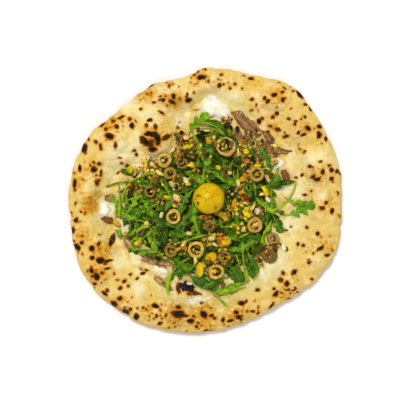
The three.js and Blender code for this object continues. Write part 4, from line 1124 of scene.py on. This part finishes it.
placedLeaves = [  # x, y, heading, length, width, bend, how bright (the leaf's own green, and painted shade), lobes; the last ones lie on top
    (0, 68, 20, 28, 12, 20, 0.2, 0.5), (16, 74, -35, 26, 10, -30, 0.15, 0.5), (46, 60, -60, 24, 10, 0, 0.2, 0.5),
    (-87, 12, -80, 28, 8, 20, 0.5, 0.9), (-91, -4, -100, 32, 9, 10, 0.6, 1), (-86, 16, 10, 26, 7, -20, 0.5, 0.9),
    (44, -62, -70, 26, 10, 10, 0.4, 0.7), (-70, 14, -10, 26, 8, 10, 0.4, 0.8), (58, -58, -120, 22, 9, 10, 0.4, 0.7),
    (-93, 18, -90, 60, 7, -6, 0.75, 0.9), (-107, 13, 14, 36, 2.8, -34, 0.35, 0), (-79, -38, 36, 24, 5, -45, 0.9, 0.1),
    (-76, -48, -36, 36, 8, 80, 0.65, 0.3), (-55, -38, -85, 20, 8, 10, 0.8, 0.3),
    (-14, -62, -136, 56, 5, 80, 0.95, 0.1), (-18, -78, -47, 30, 8, 25, 0.5, 0.2),
    (-46, -55, -35, 34, 12, -20, 0.45, 0.8), (-48, -57, 185, 24, 7, 10, 0.75, 0.5),
    (-17, 62, 70, 40, 14, -85, 0.9, 1), (-14, 80, 0, 52, 9, -85, 0.35, 0.1), (46, 67, -75, 15, 7, 0, 0.6, 0.5),
    (55, 65, -60, 36, 11, -15, 0.55, 0.9), (80, 34, -100, 24, 14, 5, 0.5, 0.2), (62, 14, 6, 37, 6, 12, 0.12, 0.2),
    (99, 20, -117, 50, 3.2, -75, 1, 0), (53, 17, -65, 38, 7, 50, 0.8, 0.2), (72, 12, -88, 22, 9, 0, 0.6, 0.2),
    (84, -17, 11, 38, 15, 55, 0.75, 1), (86, 3, -25, 27, 8, 40, 0.85, 0.8), (-2, 31, -20, 42, 9, -20, 0.7, 0.3),
    (0, 32, -105, 22, 7, 0, 0.8, 0.2), (36, 32, -98, 17, 6, 0, 0.75, 0.2), (8, 51, -110, 22, 9, 0, 0.75, 0.5),
    (-26, 35, -40, 27, 9, 15, 0.6, 0.7), (34.5, -3, -88, 24, 6, 0, 0.65, 0.2), (73, -20, -108, 34, 9, -10, 0.95, 0.3),
    (72, -14, -60, 26, 13, -10, 0.5, 0.8), (18, -57, 14, 37, 10, 15, 0.6, 0.6), (41, -47, -84, 46, 3.6, 14, 1, 0),
    (22, -68, -50, 32, 18, -15, 0.4, 0.3), (53, -89, 68, 18, 2.8, -10, 0.85, 0), (50, -88, 200, 42, 8, -8, 0.7, 0.6),
    (46, -95, 192, 32, 6, 10, 0.85, 0.5), (2, -96, -40, 32, 4, -10, 0.8, 0.2), (-21, -78, -32, 40, 12, 4, 0.28, 0.35),
    (18, -30, 5, 28, 9, 10, 0.65, 0.6), (36, -42, 25, 30, 3, -10, 0.8, 0), (-13, 1, -88, 26, 11, 0, 0.7, 0.4),
    (-11, -20, -75, 19, 4, 10, 0.9, 0), (-48, 21, -60, 28, 4, 0, 0.8, 0), (-86, -20, 60, 34, 9, 20, 0.8, 0.9),
    (-72, 8, -60, 34, 10, 30, 0.7, 1), (-84, -2, 20, 36, 10, -30, 0.75, 1), (-54, -8, 205, 38, 12, -25, 0.5, 0.9),
    (-62, -26, 160, 30, 7, 20, 0.8, 1), (26, 44, 160, 34, 10, -20, 0.35, 0.8), (-36, 8, 200, 30, 10, 30, 0.6, 0.9),
    (-2, -38, 178, 40, 9, 12, 0.45, 0.7), (-28, -24, -100, 30, 11, 10, 0.3, 0.6), (60, -2, -45, 22, 4, 25, 0.95, 0),
    (44, -52, -60, 32, 11, -20, 0.45, 0.8), (-60, -40, -30, 26, 9, 25, 0.4, 0.8),
    (-38, -62, 10, 26, 10, -30, 0.35, 0.8), (-6, -78, -20, 30, 9, -30, 0.5, 0.6), (-80, -28, 120, 40, 8, 30, 0.65, 1),
    (-66, 14, -20, 26, 7, -20, 0.7, 0.8), (28, -84, 200, 32, 10, 10, 0.4, 0.7),
    (-62, -6, -55, 42, 15, -20, 0.16, 0.25), (-50, -30, -70, 26, 12, 20, 0.12, 0.3),
    (-74, -37, 34, 20, 3, -30, 0.85, 0), (-44, -52, 20, 50, 3.2, -22, 0.9, 0), (-91, -44, 92, 44, 3.6, -4, 0.95, 0),
    (-90, -4, 60, 54, 3.8, -95, 1.1, 0), (-12, 81, -19, 64, 4.5, -130, 0.55, 0.1), (-6, 75, -14, 50, 3, -125, 0.8, 0),
    (-17, 80, -66, 42, 6, -12, 0.85, 0.3),
]
leaf = {
    "seed": 31, "fillers": 105, "scraps": 230, "curls": 80, "thick": 0.35,
    "grids": [(40, 6), (26, 4), (12, 2)],  # cells along and across the large, middling and short ones
    "course": 60, "stalk": 0.26, "curl": 0.36, "arch": 4.2, "tuck": 3.5, "highest": 33,
    "clear": (-55, 68, 30),  # the large bubble, which stays bare: x, y, radius
}


def sheetGrid(along, across):  # the flat sheet that each leaf is bent from
    deselect()
    bpy.ops.mesh.primitive_grid_add(x_subdivisions=along, y_subdivisions=across, size=2)
    piece = named("leafSheet")
    points = pointsOf(piece)
    faces = [tuple(face.vertices) for face in piece.data.polygons]
    bpy.data.objects.remove(piece)
    return (points[:, 0] + 1) / 2, points[:, 1], faces


def bedUnder(pile, x, y):
    return np.maximum(pile.height(x, y), np.maximum(tableTop(x, y) + 0.3, heapTop(x, y) - 2.5))


def leafShape(sheet, spec, pile, chance, low):  # low ones lie flat on what is below
    x0, y0, heading, long, wide, bend, bright, lobed = spec
    t, v, _ = sheet
    line = np.linspace(0, 1, leaf["course"])
    wander = 9 * math.sin(x0 + y0) * np.sin(line * 7 + x0)
    course = np.radians(heading + bend * (line - 0.3) + wander)
    px, py = (start + np.concatenate([[0], np.cumsum(way(course[1:]))]) * long / (leaf["course"] - 1)
              for start, way in ((x0, np.cos), (y0, np.sin)))
    bed = bedUnder(pile, px, py)
    level = np.convolve(np.pad(bed, 5, mode="edge"), np.ones(11) / 11, "valid")
    level = np.maximum(level, bed - 0.8)
    arch = leaf["arch"] * (0.5 if low else 1) * min(1, long / 36)
    rise = 0.5 + arch * np.sin(math.pi * line) * (0.5 + 0.5 * chance.random()) - 2.2 * (1 - smooth(0, 0.12, line))
    stalk = leaf["stalk"] if wide > 5 else 0.5
    blade = np.clip((t - stalk) / (1 - stalk), 0, 1)
    envelope = np.sin(math.pi * np.clip(blade, 0, 1) ** 0.85) ** 0.55
    lobes = 3.5 if long > 30 else 2.5
    sideShift = 0.35 * np.sign(v) * math.sin(x0 * 3)
    notch = (0.5 + 0.5 * np.cos(turn * (lobes * blade ** 0.9 + sideShift))) ** 1.3
    depth = 0.78 * lobed * (1 - smooth(0.55, 0.9, blade))
    half = wide / 2 * envelope * (1 - depth * notch)
    half *= 1 + 0.1 * lobed * grain(np.stack([t * long, 9 * np.sign(v), 0 * t + x0], axis=1), 2.2, 172)
    stem = mix(1.05, 0.4, t) * (1 if wide > 5 else 1.25)
    half = np.maximum(half, stem)
    onBlade = np.clip((half - stem) / 2, 0, 1)
    twist = 0.6 * math.sin(x0 * 1.7 + y0) + (1.1 if low else 0.8) * math.sin(y0) * (t - 0.5)
    along = np.clip(t + np.abs(v) ** 1.5 * half * 0.32 / long * onBlade, 0, 1)
    cx, cy, cz = (np.interp(along, line, p) for p in (px, py, level + rise))
    ch = np.interp(along, line, course)
    side = v * half
    ruffle = 0.8 * onBlade * np.abs(v) * np.sin(t * long / 1.7 + 2 * np.sign(v) + x0)
    x = cx - side * np.cos(twist) * np.sin(ch)
    y = cy + side * np.cos(twist) * np.cos(ch)
    z = cz + side * np.sin(twist) + leaf["curl"] * np.abs(side) * onBlade + ruffle
    z += (1 - onBlade) * stem * np.sqrt(np.clip(1 - v * v, 0, 1)) * 0.8
    z = np.maximum(z, np.where(t > 0.1, bedUnder(pile, x, y) + 0.15, -9))
    for bx, by, radius, bottom in blocks:
        inside = 1 - smooth(radius, radius + leaf["tuck"], np.hypot(x - bx, y - by))
        z = mix(z, np.minimum(z, bottom - 0.5), inside)
    z = np.minimum(z, leaf["highest"])
    pile.add(x, y, z)
    marks = {"bright": np.full(len(t), bright), "cool": np.full(len(t), 0.5 + 0.5 * math.sin(7 * x0 + 3 * y0)),
             "across": side, "half": half, "run": along * long}
    return np.stack([x, y, z], axis=1), marks


def leafPaint():
    paint = Paint("rocketLeaf", {"Specular IOR Level": 0.45, "Specular Tint": (0.75, 0.95, 0.15, 1),
                                 "Subsurface Weight": 0.06, "Subsurface Radius": (0.002, 0.004, 0.001),
                                 "Subsurface Scale": 0.4})
    run, side = paint.mark("run"), paint.mark("across")
    # brightness per leaf: partly each leaf's own green, partly painted shade, as the leaves lying under others get low
    # values and near-black greens
    bright = paint.mark("bright") + paint.stir(0.8, 6, 3)
    blade = paint.ramp(bright, [(0.0, tone(8, 32, 0)), (0.28, tone(30, 78, 0)), (0.6, tone(74, 138, 0)),
                                (0.95, tone(140, 194, 8))])
    blade = paint.mix(paint.mark("cool") * paint.step(paint.noise(14, 2), 0.35, 0.6) * 0.6, blade, tone(48, 98, 48))
    across = side.math("ABSOLUTE")
    ribs = ((run + side * 0.5 + across * 0.9) * 1.1).math("SINE").math("ABSOLUTE")
    onBlade = paint.step(paint.mark("half"), 1.2, 2.2)
    blade = paint.mix(paint.step(ribs * -1, -0.22, -0.02) * onBlade * 0.35, blade, tone(140, 172, 50))
    # painted sheen: pale streaks along the leaf, stronger on brighter leaves; the same streaks also roughen the bump
    sheenStreaks = paint.noise(1.6, 3, 0.5, paint.node("CombineXYZ", {}, {"X": run * 0.0003, "Y": side * 0.001}))
    blade = paint.mix(paint.step(sheenStreaks, 0.54, 0.7) * (bright * 0.5 + 0.15), blade, tone(164, 188, 70))
    midrib = 1 - paint.step(across, 0.3, 0.8)
    stalk = paint.mix(paint.step(bright, 0.2, 0.9), tone(104, 132, 20), tone(170, 194, 44))
    colour = paint.mix(midrib * 0.6, blade, stalk)
    colour = paint.mix((1 - onBlade) * 0.85, colour, stalk)
    colour = paint.mix(paint.step(paint.noise(2.6, 4), 0.54, 0.68) * 0.6, colour, tone(24, 44, 2))
    colour = paint.mix(paint.step(paint.noise(12, 2), 0.62, 0.74) * 0.5, colour, tone(150, 146, 10))
    # painted glints: small pale flecks, stronger on brighter leaves
    colour = paint.mix(paint.step(paint.noise(1.3, 3), 0.59, 0.69) * (bright * 0.6 + 0.3), colour, tone(180, 206, 96))
    height = ribs * onBlade * 0.5 + midrib * 0.8 + sheenStreaks * 0.5
    return paint.done(colour, 0.22 + paint.noise(5) * 0.26, height, 0.7, 0.6)


def leafPieces(pile):
    chance = np.random.default_rng(leaf["seed"])
    full, mid, short = (sheetGrid(*cells) for cells in leaf["grids"])
    clearX, clearY, clearRadius = leaf["clear"]
    layers = {"rocketUnder": [], "rocketOver": []}

    def lay(name, sheet, spec, low=False):
        points, marks = leafShape(sheet, spec, pile, chance, low)
        layers[name].append((points, sheet[2], marks))

    def bare(x, y):  # most leaves keep off the crumbs, and all off the large bubble
        crumbs = spotOn(crumbsAt, x, y)
        return chance.random() < 0.85 * crumbs or math.hypot(x - clearX, y - clearY) < clearRadius

    # scraps, and the fillers below, lie under the rest and get low brightness: painted shade
    for _ in range(leaf["scraps"]):
        x, y = onHeap(chance, 1.04)
        spec = (x, y, 360 * chance.random(), mix(8, 20, chance.random()), mix(3, 7, chance.random()),
                mix(-120, 120, chance.random()), mix(0.0, 0.3, chance.random()), chance.random())
        if not bare(x, y):
            lay("rocketUnder", short, spec, True)
    for _ in range(leaf["fillers"]):
        x, y = onHeap(chance, 0.92)
        heading, long = turn * chance.random(), mix(24, 46, chance.random())
        ahead = math.hypot(x + long * math.cos(heading), y + long * math.sin(heading))
        if ahead > 1.06 * heapReach(math.atan2(y, x)):
            heading += math.pi
        spec = (x, y, math.degrees(heading), long, mix(6, 13, chance.random()), mix(-90, 90, chance.random()),
                mix(0.0, 0.55, chance.random()), mix(0.4, 1, chance.random()))
        middle = long / 2 * math.cos(heading), long / 2 * math.sin(heading)
        if not bare(x + middle[0], y + middle[1]):
            lay("rocketUnder", mid, spec, True)
    for i in range(leaf["curls"]):  # bright crinkled bits, most of them at the left
        x, y = (mix(-94, -50, chance.random()), mix(-42, 14, chance.random())) if i % 2 else onHeap(chance, 0.95)
        spec = (x, y, 360 * chance.random(), mix(12, 26, chance.random()), mix(3.5, 9, chance.random()),
                mix(-160, 160, chance.random()), mix(0.35, 0.95, chance.random()), 1)
        if not bare(x, y) and math.hypot(x, y) < 0.95 * heapReach(math.atan2(y, x)):
            lay("rocketUnder", mid, spec, True)
    for spec in placedLeaves:
        lay("rocketOver", full, spec)
    paint = leafPaint()
    for name, parts in layers.items():
        piece = joined(name, parts)
        apply(piece, "SOLIDIFY", thickness=leaf["thick"] * mm, offset=-1)
        finished(piece, paint, "greens", "greens_heap", degrees=70)
        print(name, len(parts), "leaves", len(piece.data.polygons), "faces")


blocks = [(x, y, radius, spotOn(restHeight, x, y) - 1) for x, y, radius, _, _, _, _ in olives]
blocks += [(x, y, 0.5 * max(long, wide), spotOn(restHeight, x, y) - 0.2 * high)
           for x, y, long, wide, _, high, _, _ in wedges.values()]
blocks.append((tomato["x"], tomato["y"], tomato["block"], spotOn(heapTop, tomato["x"], tomato["y"]) - 3))
pile = Pile()
corePiece()
leafPieces(pile)
for x, y, radius, hole, _, _, _ in olives:
    pile.disc(x, y, radius, spotOn(restHeight, x, y) + 3.4)
    pile.disc(x, y, hole, spotOn(restHeight, x, y) + 1.2)
for x, y, long, wide, _, high, _, _ in wedges.values():
    pile.disc(x, y, 0.4 * max(long, wide), spotOn(restHeight, x, y) + 0.65 * high)
pile.disc(tomato["x"], tomato["y"], tomato["bed"], tomato["bedTop"])
print("heap laid")


# chopped nuts, crumbs of meat and pepper

nutTones = {
    "yellow": (236, 214, 30), "cream": (242, 220, 132), "gold": (212, 162, 38), "tan": (170, 124, 46),
    "brown": (104, 62, 18), "dark": (40, 26, 10), "mauve": (128, 86, 58), "white": (238, 226, 186),
    "orange": (206, 120, 16), "lime": (204, 206, 24), "straw": (236, 220, 84), "olive": (112, 98, 16),
}
placedBits = [  # x, y, size, tone
    (-32, 73, 5, "yellow"), (-20, 66, 6.5, "cream"), (-15, 57, 6, "yellow"), (-20, 56, 6, "yellow"),
    (-63, 38, 5, "yellow"), (-56, 37, 5.5, "cream"), (-53, 34, 4.5, "yellow"), (-48, 28, 8.5, "cream"),
    (-80, 32, 7.5, "lime"), (-73, 31, 5, "gold"), (-70, 25, 4.5, "cream"), (-14, 36, 6.5, "yellow"),
    (-18, 16, 5.5, "yellow"), (-35, 15, 7, "cream"), (-20, 20, 5.5, "white"), (-39, 46, 4, "yellow"),
    (44, 51, 6.5, "yellow"), (36, 50, 6, "cream"), (42, 63, 5.5, "orange"), (76, 57, 4.5, "cream"),
    (78, 55, 4, "gold"), (5, 63, 6.5, "gold"), (12, 60, 5, "tan"), (10, 66, 4, "cream"), (14, 33, 6, "yellow"),
    (27, 28, 4.5, "cream"), (36, 17, 5, "cream"), (40, 8, 5.5, "gold"), (57, 36, 5.5, "yellow"),
    (45, -10, 6, "yellow"), (46, -16, 6.5, "yellow"), (44, -5, 5, "cream"), (52, -9, 5.5, "cream"),
    (50, -16, 5, "gold"), (42, -32, 5, "cream"), (36, -36, 5.5, "yellow"), (55, -28, 6, "cream"),
    (7, -42, 6, "cream"), (5, -49, 5, "gold"), (11, -49, 5, "cream"), (23, -46, 8, "yellow"), (17, -43, 5, "orange"),
    (16, -55, 4.5, "yellow"), (10, -78, 5.5, "yellow"), (-10, -66, 6.5, "cream"), (-22, -48, 7, "cream"),
    (-20, -54, 5, "tan"), (-28, -54, 5, "gold"), (-46, -17, 5.5, "cream"), (-17, -37, 5.5, "cream"),
    (-30, 1, 8, "cream"), (-40, 2, 6.5, "yellow"), (-72, -47, 7.5, "yellow"), (-85, -38, 4.5, "gold"),
    (-97, -13, 4.5, "cream"), (57, -13, 5.5, "white"), (-16, -91, 4.5, "white"), (-62, -26, 5, "cream"),
    (26, 8, 4.5, "tan"), (34, -16, 5, "cream"), (30, 5, 4, "cream"), (62, 5, 4.5, "cream"), (68, -1, 5, "white"),
    (24, 79, 8.5, "dark"), (29, 77, 5, "dark"), (-25, 72, 7, "dark"), (-28, 66, 6, "brown"), (-7, 75, 7.5, "brown"),
    (-3, 73, 6, "dark"), (36, 75, 6.5, "dark"), (50, 72, 5.5, "dark"), (50, 69, 6, "brown"), (46, 65, 5, "tan"),
    (30, 60, 5.5, "mauve"), (9, 42, 5, "brown"), (-20, 50, 7.5, "brown"), (-12, 53, 6.5, "mauve"),
    (-10, 60, 6, "mauve"), (-31, 36, 6, "dark"), (-50, 18, 7, "brown"), (-33, 22, 6, "tan"), (-14, 20, 6, "brown"),
    (22, 24, 6, "brown"), (44, 26, 7, "tan"), (40, 21, 6, "gold"), (72, 25, 7, "brown"), (52, 43, 6, "dark"),
    (38, 45, 6, "dark"), (45, 40, 6, "tan"), (-66, -36, 7.5, "mauve"), (-78, 13, 7, "brown"), (-70, 8, 6, "tan"),
    (-50, -64, 6, "dark"), (-62, -61, 7, "brown"), (-22, -52, 5, "orange"), (3, -53, 5.5, "dark"),
    (11, -54, 5, "brown"), (8, -33, 5.5, "mauve"), (5, -27, 5, "mauve"), (62, -50, 6, "brown"),
    (76, -52, 6.5, "brown"), (60, -67, 6, "brown"), (20, -93, 5.5, "mauve"), (35, -72, 6, "mauve"),
    (55, -64, 6, "tan"), (-90, 8, 5, "brown"), (62, 64, 5, "dark"), (-56, -2, 6, "tan"), (-52, -40, 5, "brown"),
    (30, 68, 5, "brown"), (66, 62, 5, "tan"), (-36, -17, 4, "brown"), (-32, -22, 4, "dark"), (-10, -52, 4.5, "brown"),
    (-7, -57, 4, "dark"), (57, 25, 4.5, "brown"), (54, 29, 4, "dark"), (-43, 41, 4, "dark"), (14, -76, 3.5, "dark"),
    (52, -30, 3.5, "gold"),
]
bits = {"seed": 43, "stray": 100, "pepper": 420, "pepperReach": 138, "thick": 0.06}  # thick: crumbs a square mm


def choppedShape(seed, cuts, level):  # a nut chopped by a few flat cuts
    chance = np.random.default_rng(seed)
    deselect()
    bpy.ops.mesh.primitive_ico_sphere_add(subdivisions=level, radius=0.5)
    piece = named("choppedNut")
    bpy.ops.object.mode_set(mode="EDIT")
    for _ in range(cuts):
        normal = chance.normal(size=3)
        normal /= np.linalg.norm(normal)
        bpy.ops.mesh.select_all(action="SELECT")
        bpy.ops.mesh.bisect(plane_co=tuple(normal * mix(0.14, 0.34, chance.random())), plane_no=tuple(normal),
                            use_fill=True, clear_outer=True)
    bpy.ops.mesh.select_all(action="SELECT")
    if level > 1:
        bpy.ops.mesh.bevel(offset=0.015, segments=1)
    bpy.ops.mesh.normals_make_consistent(inside=False)
    bpy.ops.object.mode_set(mode="OBJECT")
    points = pointsOf(piece)
    points -= (points.max(0) + points.min(0)) / 2
    points += 0.04 * np.stack([grain(points + k, 0.3, seed) for k in (0, 5, 9)], axis=1)
    faces = [tuple(face.vertices) for face in piece.data.polygons]
    bpy.data.objects.remove(piece)
    return points / (points.max(0) - points.min(0)).max(), faces


def turned(points, chance):
    quaternion = Quaternion(chance.normal(size=4)).normalized()
    shape = points * (1, mix(0.6, 1, chance.random()), mix(0.5, 0.85, chance.random()))
    chance.normal(), chance.random()  # drawn for nothing, so that all later draws stay as they are
    return shape @ np.array(quaternion.to_matrix()).T


def nutPaint():
    paint = Paint("choppedNut", {"Specular IOR Level": 0.2, "Specular Tint": (1, 0.9, 0.4, 1),
                                 "Subsurface Weight": 0.08, "Subsurface Radius": (0.003, 0.002, 0.001),
                                 "Subsurface Scale": 0.5})
    shade = paint.node("Attribute", {"attribute_name": "shade"}, {}, "Color")
    deeper = paint.mix(1.0, shade, tone(200, 150, 90), "MULTIPLY")
    colour = paint.mix(paint.step(paint.noise(2.2, 3), 0.45, 0.7) * 0.6, shade, deeper)
    return paint.done(colour, 0.46 + paint.noise(2) * 0.2, paint.noise(0.9, 3), 0.5, 0.4)


def bitPieces(pile):
    paint = nutPaint()
    chance = np.random.default_rng(bits["seed"])
    shapes = [choppedShape(200 + i, 5 + i % 3, 2) for i in range(8)]
    small = [choppedShape(220 + i, 3 + i % 2, 1) for i in range(8)]
    nuts, crumbs, pepper = [], [], []

    def drop(group, x, y, size, colour, shape, sunk, jitter):
        points, faces = shape
        points = turned(points, chance) * size
        spread = size * 0.35
        near = [spotOn(pile.height, x + dx, y + dy) for dx, dy in
                ((0, 0), (spread, 0), (-spread, 0), (0, spread), (0, -spread))]
        z = max(near) * 0.7 + sum(near) / 5 * 0.3 - points[:, 2].min() - sunk * size
        shade = np.clip(np.array(tone(*nutTones[colour])[:3]) * (1 + jitter * chance.normal(size=3)), 0.004, 1)
        group.append((points + (x, y, z), faces, {k: s for k, s in zip("rgb", shade)}))
        if size > 2.5:
            pile.add(points[:, 0] + x, points[:, 1] + y, points[:, 2] + z)

    pale = ["yellow", "straw", "cream", "gold", "straw", "tan", "yellow", "gold"]
    browns = ["tan", "brown", "dark", "mauve", "brown", "olive", "gold", "mauve"]

    def crumb(x, y, brown, largest):
        if math.hypot(x - tomato["x"], y - tomato["y"]) < tomato["clear"]:
            return
        size = mix(1.6, largest, chance.random() ** 1.3)
        kinds = browns if chance.random() < brown + 0.3 * (size < 2.4) else pale
        colour = kinds[int(chance.integers(len(kinds)))]
        drop(crumbs, x, y, size, colour, small[int(chance.integers(8))], 0.3, 0.1)

    for px, py, radius, brown in crumbPatches:
        for _ in range(int(bits["thick"] * math.pi * radius ** 2)):
            away, angle = radius * chance.random() ** 0.6, turn * chance.random()
            crumb(px + away * math.cos(angle), py + away * math.sin(angle), brown, 5.4)
    for _ in range(bits["stray"]):
        crumb(*onHeap(chance, 1.04), 0.6, 3.4)
    for x, y, size, colour in placedBits:
        group = nuts if colour in ("yellow", "cream", "gold", "lime", "white", "orange") else crumbs
        drop(group, x, y, (1.4 if group is nuts else 1.1) * size, colour, shapes[int(chance.integers(8))], 0.22, 0.05)
    for x, y, _, hole, _, _, _ in olives:  # what lies in their holes
        for _ in range(int(2 + 0.25 * hole ** 2)):
            away, angle = 0.7 * hole * math.sqrt(chance.random()), turn * chance.random()
            crumb(x + away * math.cos(angle), y + away * math.sin(angle), 0.55, 4)
    deselect()
    bpy.ops.mesh.primitive_ico_sphere_add(subdivisions=1, radius=0.5)
    speck = named("pepperGrain")
    speckShape = (pointsOf(speck), [tuple(face.vertices) for face in speck.data.polygons])
    bpy.data.objects.remove(speck)
    for _ in range(bits["pepper"]):
        angle, r = turn * chance.random(), bits["pepperReach"] * math.sqrt(chance.random())
        x, y = r * math.cos(angle), r * math.sin(angle)
        onTomato = math.hypot(x - tomato["x"], y) < tomato["bare"]
        if onTomato or math.hypot(x, y) > 0.9 * float(section(np.array(angle))[0]):
            continue
        drop(pepper, x, y, mix(0.5, 1.25, chance.random() ** 2), "dark" if chance.random() < 0.6 else "brown",
             speckShape, 0.35, 0.1)
    for name, group in (("choppedNuts", nuts), ("toppingCrumbs", crumbs), ("groundPepper", pepper)):
        piece = joined(name, group)
        shade = np.ones((len(piece.data.vertices), 4), np.float32)
        for k, label in enumerate("rgb"):
            values = np.empty(len(piece.data.vertices), np.float32)
            piece.data.attributes[label].data.foreach_get("value", values)
            shade[:, k] = values
            piece.data.attributes.remove(piece.data.attributes[label])
        layer = piece.data.attributes.new("shade", "FLOAT_COLOR", "POINT")
        layer.data.foreach_set("color", shade.ravel())
        finished(piece, paint, "greens", "greens_heap", degrees=35)
        print(name, len(group))


bitPieces(pile)


peppercorns = {"redPeppercorn": (44, 1.5, 6, (200, 16, 12)), "blackPeppercorn": (50, -1, 5, (40, 28, 34))}


def peppercornPieces(pile):
    for i, (name, (x, y, size, colour)) in enumerate(peppercorns.items()):
        piece = ball(name, 40, 24)
        points = pointsOf(piece)
        wrinkle = 0.09 * np.abs(grain(points * 5, 1.7, 180 + i)) + 0.03 * grain(points * 5, 0.8, 182)
        shape = points * (size / 2) * (1 - wrinkle)[:, None]
        move(piece, shape + (x, y, spotOn(pile.height, x, y) + 0.3 * size))
        paint = Paint(name + "Skin", {"Specular IOR Level": 0.25, "Specular Tint": (1, 0.6, 0.3, 1),
                                      "Coat Weight": 0.12, "Coat Roughness": 0.2})
        deep = tone(*(0.55 * c for c in colour))
        shade = paint.mix(paint.step(paint.noise(1.4, 3), 0.4, 0.65), deep, tone(*colour))
        finished(piece, paint.done(shade, 0.35, paint.noise(0.8, 3), 0.4, 0.3), "greens", "greens_heap")


peppercornPieces(pile)
print("nuts, crumbs and pepper made")


# floor, light and camera

view = {"x": -4.9, "y": -1.1, "width": 432, "height": 1500, "level": 14, "sensor": 36}
lights = {  # place, size, power
    "keyLight": ((-0.6, 1.3, 3.4), 0.8, 76), "fillLight": ((0.9, -1.6, 3.2), 2.4, 20),
}
sky = 0.46


def studio():
    deselect()
    bpy.ops.mesh.primitive_plane_add(size=8)
    floor = named("floor")
    paint = Paint("paleFloor", {"Specular IOR Level": 0.2})
    floor.data.materials.append(paint.done(tone(252, 252, 252), 0.9))
    world = bpy.data.worlds.new("softSky")
    world.use_nodes = True
    glow = world.node_tree.nodes["Background"].inputs
    glow["Color"].default_value = (1, 1, 1, 1)
    glow["Strength"].default_value = sky
    bpy.context.scene.world = world
    for name, (place, size, power) in lights.items():
        bpy.ops.object.light_add(type="AREA", location=place)
        light = bpy.context.object
        light.name = name
        light.data.size = size
        light.data.energy = power
        light.rotation_euler = (-light.location).to_track_quat("-Z", "Y").to_euler()
    bpy.ops.object.camera_add(location=(view["x"] * mm, view["y"] * mm, view["height"] * mm))
    camera = bpy.context.object
    camera.name = "overhead"
    camera.data.sensor_width = view["sensor"]
    camera.data.lens = view["sensor"] * (view["height"] - view["level"]) / view["width"]
    camera.data.clip_end = 20
    bpy.context.scene.camera = camera
    bpy.context.scene.view_settings.view_transform = "Standard"


studio()
print("studio made")
